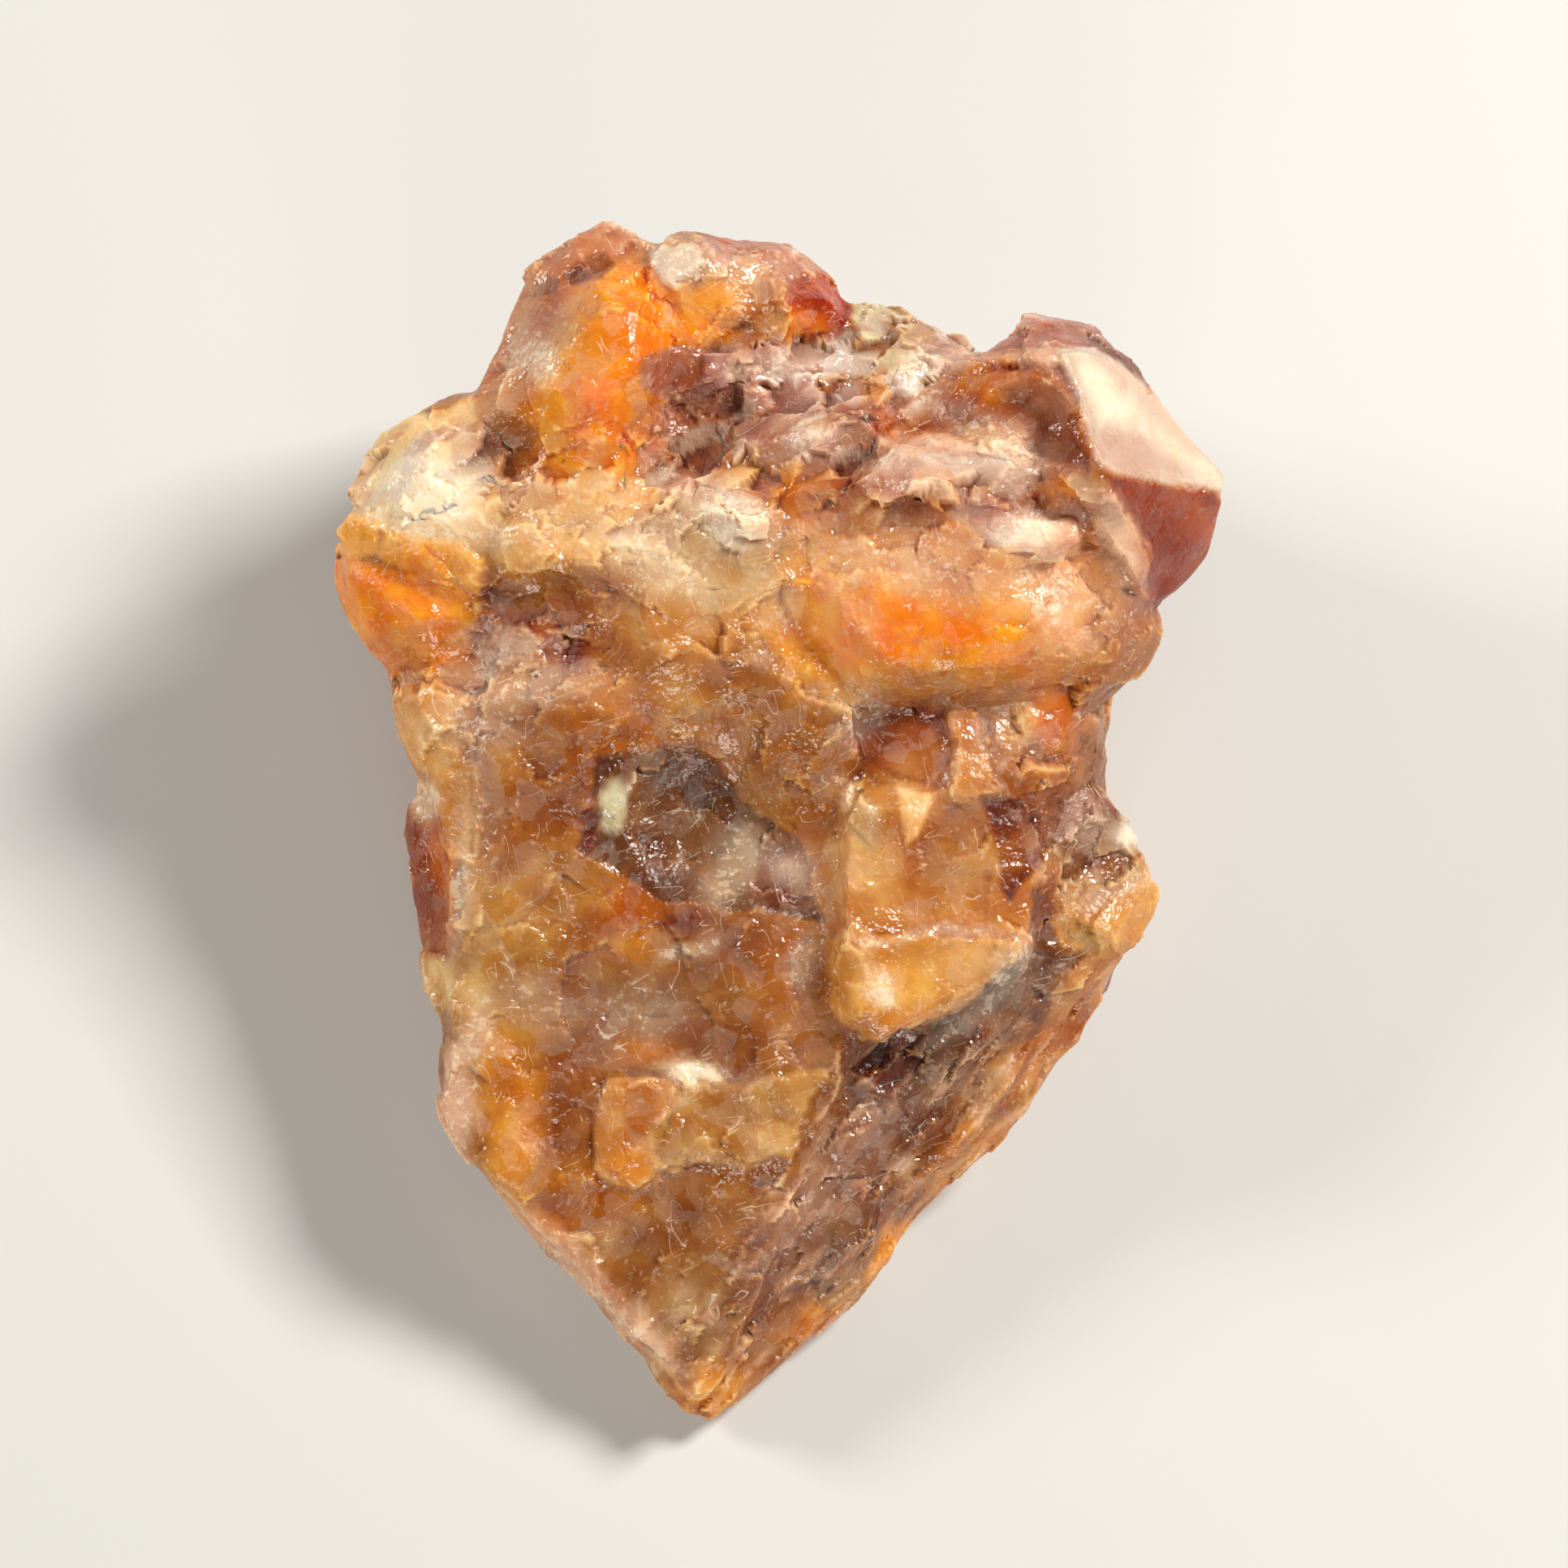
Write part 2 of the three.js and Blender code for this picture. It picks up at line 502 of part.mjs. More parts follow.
// The pale band across the upper middle: overlapping broken slabs, tipped different ways.
function middleBand() {
  return [
    block({
      outline: [[-6.4, 7.8], [-4.2, 8.9], [-1.6, 8.6], [-0.4, 7.2], [-1.8, 5.8], [-5.4, 6.0]],
      front: 3.1, lean: [0.02, -0.24], drop: 0.4, rough: 0.35,
    }),
    block({
      outline: [[-1.8, 8.5], [0.6, 8.3], [1.7, 7.2], [1.5, 5.4], [-0.6, 5.2], [-2.0, 6.6]],
      front: 3.2, lean: [0.1, -0.12], bevel: 0.06, drop: 0.4, rough: 0.35,
    }),
    block({
      outline: [[-4.4, 5.9], [-2.0, 6.6], [1.2, 6.0], [1.8, 4.2], [0.4, 3.4], [-2.2, 3.6], [-4.0, 4.4]],
      front: 2.95, lean: [0.05, 0.18], bevel: 0.12, drop: 0.35, rough: 0.2,
    }),
    block({
      outline: [[-6.6, 4.2], [-4.0, 4.8], [-1.6, 4.0], [-2.4, 2.0], [-4.2, 1.7], [-6.2, 2.6]],
      front: 2.2, lean: [0.06, -0.12], drop: 0.3, rough: 0.35,
    }),
    block({
      outline: [[-2.6, 3.9], [0.6, 4.0], [2.6, 3.4], [2.7, 2.0], [0.8, 1.5], [-1.0, 1.6], [-3.0, 1.7]],
      front: 2.45, lean: [0.04, 0.26], bevel: 0.04, drop: 0.4, rough: 0.15,
    }),
    block({
      outline: [[0.0, 1.7], [1.2, 2.4], [2.9, 2.6], [2.9, -1.5], [2.1, -1.6], [1.2, -0.4]],
      front: 2.15, lean: [0.12, 0.2], bevel: 0.04, drop: 0.4, rough: 0.15,
    }),
    chip([-3.2, 8.5, 3.1], [1.3, 0.8, 0.5], 10, -20),
    chip([0.2, 7.2, 3.3], [1.3, 0.8, 0.6], -35, 15),
    chip([-4.4, 7.1, 3.3], [1.2, 0.7, 0.5], 25, 10),
    chip([-2.2, 7.2, 3.2], [1.0, 0.6, 0.5], -30, -15),
  ];
}

// Crystals and broken lumps on the sides, which show when the specimen is turned.
function sides() {
  return [
    garnetCrystal([-3.2, 10.6, -3.0], 3.0, [20, 35, 10]),
    garnetCrystal([0.4, 11.2, -2.6], 2.9, [50, 10, 25]),
    garnetCrystal([4.0, 9.2, -3.6], 3.0, [15, 60, 40]),
    garnetCrystal([8.0, 7.0, -3.8], 3.6, [35, 20, 5]),
    garnetCrystal([-1.6, 9.0, -7.0], 3.6, [5, 30, 50]),
    garnetCrystal([3.4, 7.8, -7.2], 3.0, [65, 15, 30]),
    garnetCrystal([-6.2, 6.4, -3.4], 3.2, [25, 50, 15]),
    garnetCrystal([-5.8, 1.6, -3.4], 2.5, [40, 25, 60]),
    garnetCrystal([7.2, 0.8, -3.8], 2.7, [10, 40, 35]),
    hull([
      [-7.2, 0.6, -1.4], [-7.5, -3.6, -1.6], [-6.8, -7.0, -1.8], [-5.8, -2.0, -6.6], [-5.2, -6.6, -5.0],
      [-5.0, 1.6, -7.0], [-4.0, -3.0, -0.5],
    ]),
    hull([
      [9.6, -2.2, -2.0], [8.0, -5.4, -2.6], [8.8, -1.0, -3.0], [6.6, -3.0, -6.4], [5.6, -6.6, -4.8],
      [8.0, 0.6, -5.4], [5.0, -3.0, -0.5],
    ]),
    hull([
      [9.9, 4.8, -0.6], [9.8, 6.0, -2.2], [8.6, 2.4, -2.2], [7.4, 3.0, -7.0], [7.6, 6.4, -6.4],
      [6.0, 4.0, 0.5],
    ]),
    hull([
      [-8.6, 5.6, -0.8], [-8.3, 3.2, -1.6], [-7.0, 4.4, -6.2], [-6.2, 7.8, -6.0], [-8.6, 7.6, -1.2],
      [-5.0, 5.0, 0.0],
    ]),
  ];
}

// Shell-shaped breaks, pits and notches.
function hollows() {
  return [
    egg([6.9, 9.55, 5.6], [2.0, 1.45, 2.7], -12, 2), // the shell-shaped break in the large crystal
    egg([5.2, 9.3, 4.1], [1.5, 0.9, 1.7], -30, 2), // where it runs out to the left
    egg([8.0, 7.62, 4.6], [0.55, 0.28, 0.8]), // the pocket between the ledges
    egg([7.66, -2.4, 1.3], [0.34, 0.6, 1.0], -10), // the hole beside the tan block
    egg([4.6, -5.55, 0.9], [1.7, 0.42, 1.0], 22), // the dark gap under the tan block
    egg([-3.35, -0.55, 2.1], [0.45, 0.6, 0.9], 20), // the red nick in the face's middle
    egg([-0.5, -0.4, 5.7], [3.7, 2.9, 4.75], 12, 2), // the wide shallow hollow of the face
    egg([-5.4, 4.6, 2.8], [1.1, 0.5, 0.9], -8), // dark pits under the pale band
    egg([-3.9, 4.5, 3.0], [0.6, 0.45, 0.9]),
    egg([-0.75, 8.9, 2.9], [0.7, 0.45, 1.2], 60), // the deep red hole in the splintered hollow
    egg([2.1, 12.3, 3.9], [0.95, 0.9, 1.6], 0, 2), // the round face of the top right lump
    egg([5.1, -10.6, -0.4], [1.15, 0.8, 4.0], 40), // the notch in the lower right edge
    egg([9.9, 2.65, 0.4], [0.7, 0.35, 3.0], 30), // the notch under the orange lump
    egg([-3.4, 13.0, 4.3], [1.2, 0.6, 1.3], 35), // the hollow in the left crystal's crest
    egg([2.4, 3.4, 3.4], [0.35, 0.16, 0.7], -25), // the slot in the pale band
  ];
}

// Where a straight line from a point first meets the given surface, or null.
function meet(surface, from, towards) {
  const caster = new THREE.Raycaster(new THREE.Vector3(...from), new THREE.Vector3(...towards).normalize());
  const [first] = caster.intersectObject(surface);
  return first ? first.point.toArray() : null;
}

// Small broken crystals over the rough parts of the face. Each patch: middle, spread, size of chip, how many,
// and the direction in which they are drawn out.
function faceChips(surface) {
  const patches = [
    { at: [0.9, 9.9], spread: [2.5, 1.3], size: 0.7, count: 12, turn: 25, long: 1.3 },
    { at: [4.4, 11.2], spread: [1.2, 0.6], size: 0.55, count: 4, turn: 0, long: 1.2 },
    { at: [-2.2, 7.9], spread: [3.4, 0.8], size: 0.6, count: 6, turn: -15, long: 1.4 },
    { at: [-7.6, 8.4], spread: [1.2, 0.7], size: 0.65, count: 4, turn: 30, long: 1.2 },
    { at: [-5.2, 3.4], spread: [1.6, 0.7], size: 0.6, count: 5, turn: -10, long: 1.4 },
    { at: [6.4, 8.5], spread: [2.2, 0.4], size: 0.5, count: 4, turn: -8, long: 1.8 },
    { at: [3.0, -9.4], spread: [2.0, 1.4], size: 0.6, count: 7, turn: 42, long: 2.2 },
    { at: [6.0, -6.2], spread: [2.0, 0.9], size: 0.6, count: 5, turn: 42, long: 2.2 },
    { at: [9.2, 4.8], spread: [0.7, 1.0], size: 0.6, count: 3, turn: 60, long: 1.3 },
  ];
  const far = 30;
  return patches.flatMap(({ at, spread, size, count, turn, long }) =>
    Array.from({ length: count }, () => {
      const angle = 2 * Math.PI * random();
      const share = Math.sqrt(random());
      const x = at[0] + spread[0] * share * Math.cos(angle);
      const y = at[1] + spread[1] * share * Math.sin(angle);
      const reach = size * (0.7 + 0.6 * random());
      const found = meet(surface, [x, y, far], [0, 0, -1]);
      const sunk = [x, y, (found ? found[2] : 0) - 0.4 * reach];
      const radii = [reach * long, reach * 0.8, reach * (0.7 + 0.3 * random())];
      return chip(sunk, radii, turn + 40 * (random() - 0.5), 30 * (random() - 0.5));
    }),
  );
}

// Larger lumps and chips round the sides, placed from the outside in.
function sideChips(surface) {
  const count = 16;
  const far = 40;
  return Array.from({ length: count }, (_, i) => {
    const angle = (2 * Math.PI * (i + 0.7 * random())) / count;
    const height = -3.0 - 4.0 * random();
    const aim = [0.4, 2.0 * Math.sin(angle), height];
    const out = [Math.cos(angle), Math.sin(angle), 0];
    const found = meet(surface, aim.map((v, k) => v + far * out[k]), out.map((v) => -v));
    const reach = 1.0 + 0.8 * random();
    const sunk = (found ?? aim).map((v, k) => v - 0.75 * reach * out[k]);
    return chip(sunk, [reach * 1.3, reach, reach * 1.1], 360 * random(), 90 * random());
  });
}

// The broken back: everything behind it is cut away. It leans by WEDGE_ANGLE from the face.
function belowTheBack() {
  const wide = 120;
  const slab = new THREE.BoxGeometry(wide, wide, wide);
  slab.translate(0, 0, -wide / 2 - BACK_DEPTH).rotateX(-THREE.MathUtils.degToRad(WEDGE_ANGLE));
  return solidOf(slab);
}

function garnetSolid() {
  const grown = outOf([
    ...core(), ...sides(), ...lowerFace(), ...flank(), ...leftEdge(), ...rightBlocks(), ...rightWing(),
    ...amberLump(), ...ledges(), ...largeCrystal(), ...topCrystals(), ...topHollow(), ...leftShoulder(),
    ...middleBand(),
  ]);
  const surface = new THREE.Mesh(geometryOf(grown));
  const chips = [...faceChips(surface), ...sideChips(surface)];
  const whole = skinOf(grown.subtract(outOf(hollows())).add(outOf(chips)));
  return skinOf(whole.subtract(belowTheBack()));
}

const scale = FACE_LENGTH / DRAWN_LENGTH;
const geometry = geometryOf(garnetSolid());
geometry.rotateX(THREE.MathUtils.degToRad(WEDGE_ANGLE)).scale(scale, scale, scale);
geometry.computeBoundingBox();
const { min, max } = geometry.boundingBox;
geometry.translate(-(min.x + max.x) / 2, -(min.y + max.y) / 2, -min.z);

const material = new THREE.MeshStandardMaterial({
  color: STONE_COLOUR,
  roughness: 0.35,
  metalness: 0,
  flatShading: true,
});

const garnet = new THREE.Mesh(geometry, material);
garnet.name = "garnet";

const specimen = new THREE.Group();
specimen.add(garnet);

export default specimen;
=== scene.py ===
# A rough garnet specimen lying on its broken back, seen from above.
# Its surface is worked from the imported solid: remeshed, the gaps between its lumps closed, flat faces cut on
# its crystals, then broken into facets, shards and fibres by region. It is coloured by zones given one by one.
import math

import bpy
import numpy as np
from mathutils import Matrix, Vector


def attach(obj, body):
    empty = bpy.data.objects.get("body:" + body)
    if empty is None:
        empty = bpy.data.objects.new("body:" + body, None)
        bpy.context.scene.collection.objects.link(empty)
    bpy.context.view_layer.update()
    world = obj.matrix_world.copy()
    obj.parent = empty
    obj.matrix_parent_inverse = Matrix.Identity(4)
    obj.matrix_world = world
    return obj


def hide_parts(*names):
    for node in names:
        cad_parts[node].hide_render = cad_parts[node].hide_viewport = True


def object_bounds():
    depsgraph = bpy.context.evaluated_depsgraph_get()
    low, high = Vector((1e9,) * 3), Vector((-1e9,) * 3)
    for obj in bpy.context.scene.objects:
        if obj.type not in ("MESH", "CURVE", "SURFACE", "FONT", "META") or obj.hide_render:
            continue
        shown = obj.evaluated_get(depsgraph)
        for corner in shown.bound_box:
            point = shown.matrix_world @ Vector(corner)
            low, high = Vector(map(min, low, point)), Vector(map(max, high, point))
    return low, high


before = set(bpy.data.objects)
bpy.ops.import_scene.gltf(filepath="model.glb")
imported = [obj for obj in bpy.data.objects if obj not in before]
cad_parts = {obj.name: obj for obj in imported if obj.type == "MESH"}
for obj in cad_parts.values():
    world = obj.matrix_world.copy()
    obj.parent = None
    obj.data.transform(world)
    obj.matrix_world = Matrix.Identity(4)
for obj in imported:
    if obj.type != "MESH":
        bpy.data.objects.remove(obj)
cad_low, cad_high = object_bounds()

MM = 0.001
SPECIMEN = "garnet"
WEDGE_ANGLE = math.radians(18)  # between the specimen's face and the back that it lies on
BACK_DEPTH = 6.0  # mm, from the face's middle down to the broken back
CRYSTAL_CORNER_X = 12.2  # mm on the face, the large crystal's right corner and the widest point
TIP = (-0.44, -15.24, -0.5)  # mm on the face, the pointed end

ROUGH_STEP = 0.13 * MM  # of the mesh while its gaps are filled
SURFACE_STEP = 0.105 * MM  # of the worked surface
MOST_FACES = 192000
# Heights on the face in mm, between which each kind of work sets in towards the front.
FRONTS = {
    "gaps": (-3, -1), "cuts": (-3, -2), "relief": (-3, -1.5), "flank": (-4, -2), "colour": (-3.5, -1),
}
LYING = (0.02, 0.9)  # mm above the ground, heights between which relief sets in

MAP_STEP = 0.15  # mm, of the height map that finds the gaps
GAP_REACH = 4  # cells of that map, half the widest gap that is filled
GAP_FILL = 0.85  # how far up
GAP_LEAST = 0.12  # mm, gaps less deep are left
GAP_MOST = 3  # mm, of filling
FAR_BELOW = -99.0  # mm, the map's height beside the specimen

FIBRE_ANGLE = 47  # degrees, of the dark flank's fibres on the face
FLANK_SLOPE, FLANK_START = 0.92, 8.6  # of the line on the face, in mm, where the dark flank starts
WARP = (1.6, 11)  # size in mm and salt, of the bends in facets and shards
SPLINTER_STRETCH = (0.65, 1.3, 1)
SPLINTER_ANGLE = 20  # degrees, of the splinters' length on the face
SPLINTER_SIZE = 0.75  # mm
SPLINTER_SALT = 95
SHARD_REACH = 0.22 * MM  # how far a point moves at most as its shard is made flat
SHARD_LEAN = 0.3  # how much each shard leans its own way
WORN_LENGTH = 5.0  # mm, of a plate whose outline is fully worn

DEPTH_OF_TONE = 1.26  # more than 1 deepens every colour
# The second paints crests paler, a painted highlight; the third paints cracks darker, a painted shade.
MOTTLING, EDGE_HIGHLIGHT, CRACK_SHADE = 0.75, 0.40, 0.45  # how much these change that depth
GLOSSY_AREA = (10.4, 8.2, 2.8, 3.4, 0, 0.15)  # an oval of the face, hardly mottled or scratched


def face_frame():
    """The face's own axes and middle in the row frame. Zones and views are given on the face, in mm."""
    right = Vector((1, 0, 0))
    up = Vector((0, math.cos(WEDGE_ANGLE), math.sin(WEDGE_ANGLE)))
    out = Vector((0, -math.sin(WEDGE_ANGLE), math.cos(WEDGE_ANGLE)))
    tip_behind = TIP[1] * up.y + TIP[2] * out.y
    middle = Vector((cad_high.x / MM - CRYSTAL_CORNER_X, cad_low.y / MM - tip_behind, BACK_DEPTH))
    return right, up, out, middle


RIGHT, UP, OUT, MIDDLE = face_frame()
FACE_AXES = np.array([RIGHT, UP, OUT])


def on_face(points):
    """Row-frame points in metres, as mm on the face: x right, y towards the crystals, z out."""
    return (points / MM - np.array(MIDDLE)) @ FACE_AXES.T


def from_face(x, y, z):
    """A point given on the face in mm, in the row frame in metres."""
    return (MIDDLE + RIGHT * x + UP * y + OUT * z) * MM


# Noise

def hash_unit(cells, salt):
    """A repeatable number from 0 to 1 for each whole-number cell."""
    c = cells.astype(np.uint64)
    h = c[..., 0] * np.uint64(73856093) ^ c[..., 1] * np.uint64(19349663) ^ c[..., 2] * np.uint64(83492791)
    h = (h ^ np.uint64(salt * 2654435761)) * np.uint64(0x9E3779B97F4A7C15)
    h ^= h >> np.uint64(29)
    h *= np.uint64(0xBF58476D1CE4E5B9)
    h ^= h >> np.uint64(32)
    return (h & np.uint64(0xFFFFFF)).astype(float) / 0xFFFFFF


def hash_three(cells, salt):
    """Three such numbers for each cell."""
    return np.stack([hash_unit(cells, salt + k) for k in range(3)], axis=1)


CORNERS = np.array([[i, j, k] for i in (0, 1) for j in (0, 1) for k in (0, 1)])
NEIGHBOURS = np.array([[i, j, k] for i in (-1, 0, 1) for j in (-1, 0, 1) for k in (-1, 0, 1)])
CELL_ORIGIN = 4096  # keeps the cells' numbers above zero


def smooth_noise(points, size, salt):
    """Smooth noise from -1 to 1 whose lumps are about size across."""
    p = points / size + CELL_ORIGIN
    base = np.floor(p)
    t = p - base
    t = t * t * t * (t * (6 * t - 15) + 10)
    total = np.zeros(len(p))
    for corner in CORNERS:
        weight = np.prod(np.where(corner, t, 1 - t), axis=1)
        total += weight * hash_unit(base + corner, salt)
    return 2 * total - 1


def layered_noise(points, size, salt, layers=3, share=0.5):
    """Smooth noise with finer, weaker layers added."""
    total, weight, reach = np.zeros(len(points)), 1.0, 0.0
    for layer in range(layers):
        total += weight * smooth_noise(points, size / 2 ** layer, salt + layer)
        reach += weight
        weight *= share
    return total / reach


def bend(points, size, salt, axes=3, layers=3):
    """Smooth offsets from -1 to 1 along the first axes, for moving points aside."""
    offsets = [layered_noise(points, size, salt + 5 * k, layers) for k in range(axes)]
    return np.stack(offsets + [np.zeros(len(points))] * (3 - axes), axis=1)


def facet_noise(points, size, salt):
    """Noise from -1 to 1 made of flat facets that meet along ridges and valleys, as on broken crystal."""
    p = points / size + CELL_ORIGIN
    skewed = p + p.sum(axis=1, keepdims=True) / 3
    corner = np.floor(skewed)
    inside = skewed - corner
    order = np.argsort(-inside, axis=1)
    shares = np.take_along_axis(inside, order, axis=1)
    shares = np.hstack([np.ones((len(p), 1)), shares, np.zeros((len(p), 1))])
    rows = np.arange(len(p))
    total = (shares[:, 0] - shares[:, 1]) * hash_unit(corner, salt)
    for k in range(3):
        corner[rows, order[:, k]] += 1
        total += (shares[:, k + 1] - shares[:, k + 2]) * hash_unit(corner, salt)
    return 2 * total - 1


def shards(points, size, salt):
    """Uneven cells about size across. For each point: its cell's number, and a random shade for that cell."""
    p = points / size + CELL_ORIGIN
    base = np.floor(p)
    nearest = np.full(len(p), np.inf)
    home = base.copy()
    for neighbour in NEIGHBOURS:
        cell = base + neighbour
        seed = cell + hash_three(cell, salt)
        distance = ((p - seed) ** 2).sum(axis=1)
        closer = distance < nearest
        nearest = np.where(closer, distance, nearest)
        home = np.where(closer[:, None], cell, home)
    key = (home[:, 0] * 2 * CELL_ORIGIN + home[:, 1]) * 2 * CELL_ORIGIN + home[:, 2]
    return np.unique(key, return_inverse=True)[1], hash_unit(home, salt + 3)


def turned(points, angle):
    """Points on the face turned about its z axis, by degrees."""
    c, s = math.cos(math.radians(angle)), math.sin(math.radians(angle))
    return points @ np.array([[c, -s, 0], [s, c, 0], [0, 0, 1]])


def soft_step(x, low, high):
    """0 up to low, 1 from high, and a smooth rise between them."""
    t = np.clip((x - low) / (high - low), 0, 1)
    return t * t * (3 - 2 * t)


def front_share(p, work):
    """How much each point lies towards the front, for one kind of work, from 0 to 1."""
    return soft_step(p[:, 2], *FRONTS[work])


def patch(points, x, y, rx, ry, turn=0, edge=0.25):
    """How much each point lies in an oval patch on the face, from 0 to 1. edge is the share that fades."""
    away = turned(points - np.array([x, y, 0]), turn)
    reach = np.sqrt((away[:, 0] / rx) ** 2 + (away[:, 1] / ry) ** 2)
    return 1 - soft_step(reach, 1 - edge, 1 + edge)


def depth_inside(points, corners):
    """How far each point on the face is inside an outline, in mm. It is below zero outside."""
    here = points[:, :2]
    ends = np.array(corners, float)
    nearest = np.full(len(here), np.inf)
    crossings = np.zeros(len(here), int)
    for a, b in zip(ends, np.roll(ends, -1, axis=0)):
        along = b - a
        t = np.clip(((here - a) @ along) / (along @ along), 0, 1)
        nearest = np.minimum(nearest, np.linalg.norm(here - a - t[:, None] * along, axis=1))
        spans = (a[1] > here[:, 1]) != (b[1] > here[:, 1])
        rise = along[1] if along[1] else 1e-9
        crossings += spans & (here[:, 0] < a[0] + (here[:, 1] - a[1]) / rise * along[0])
    return np.where(crossings % 2 == 1, nearest, -nearest)


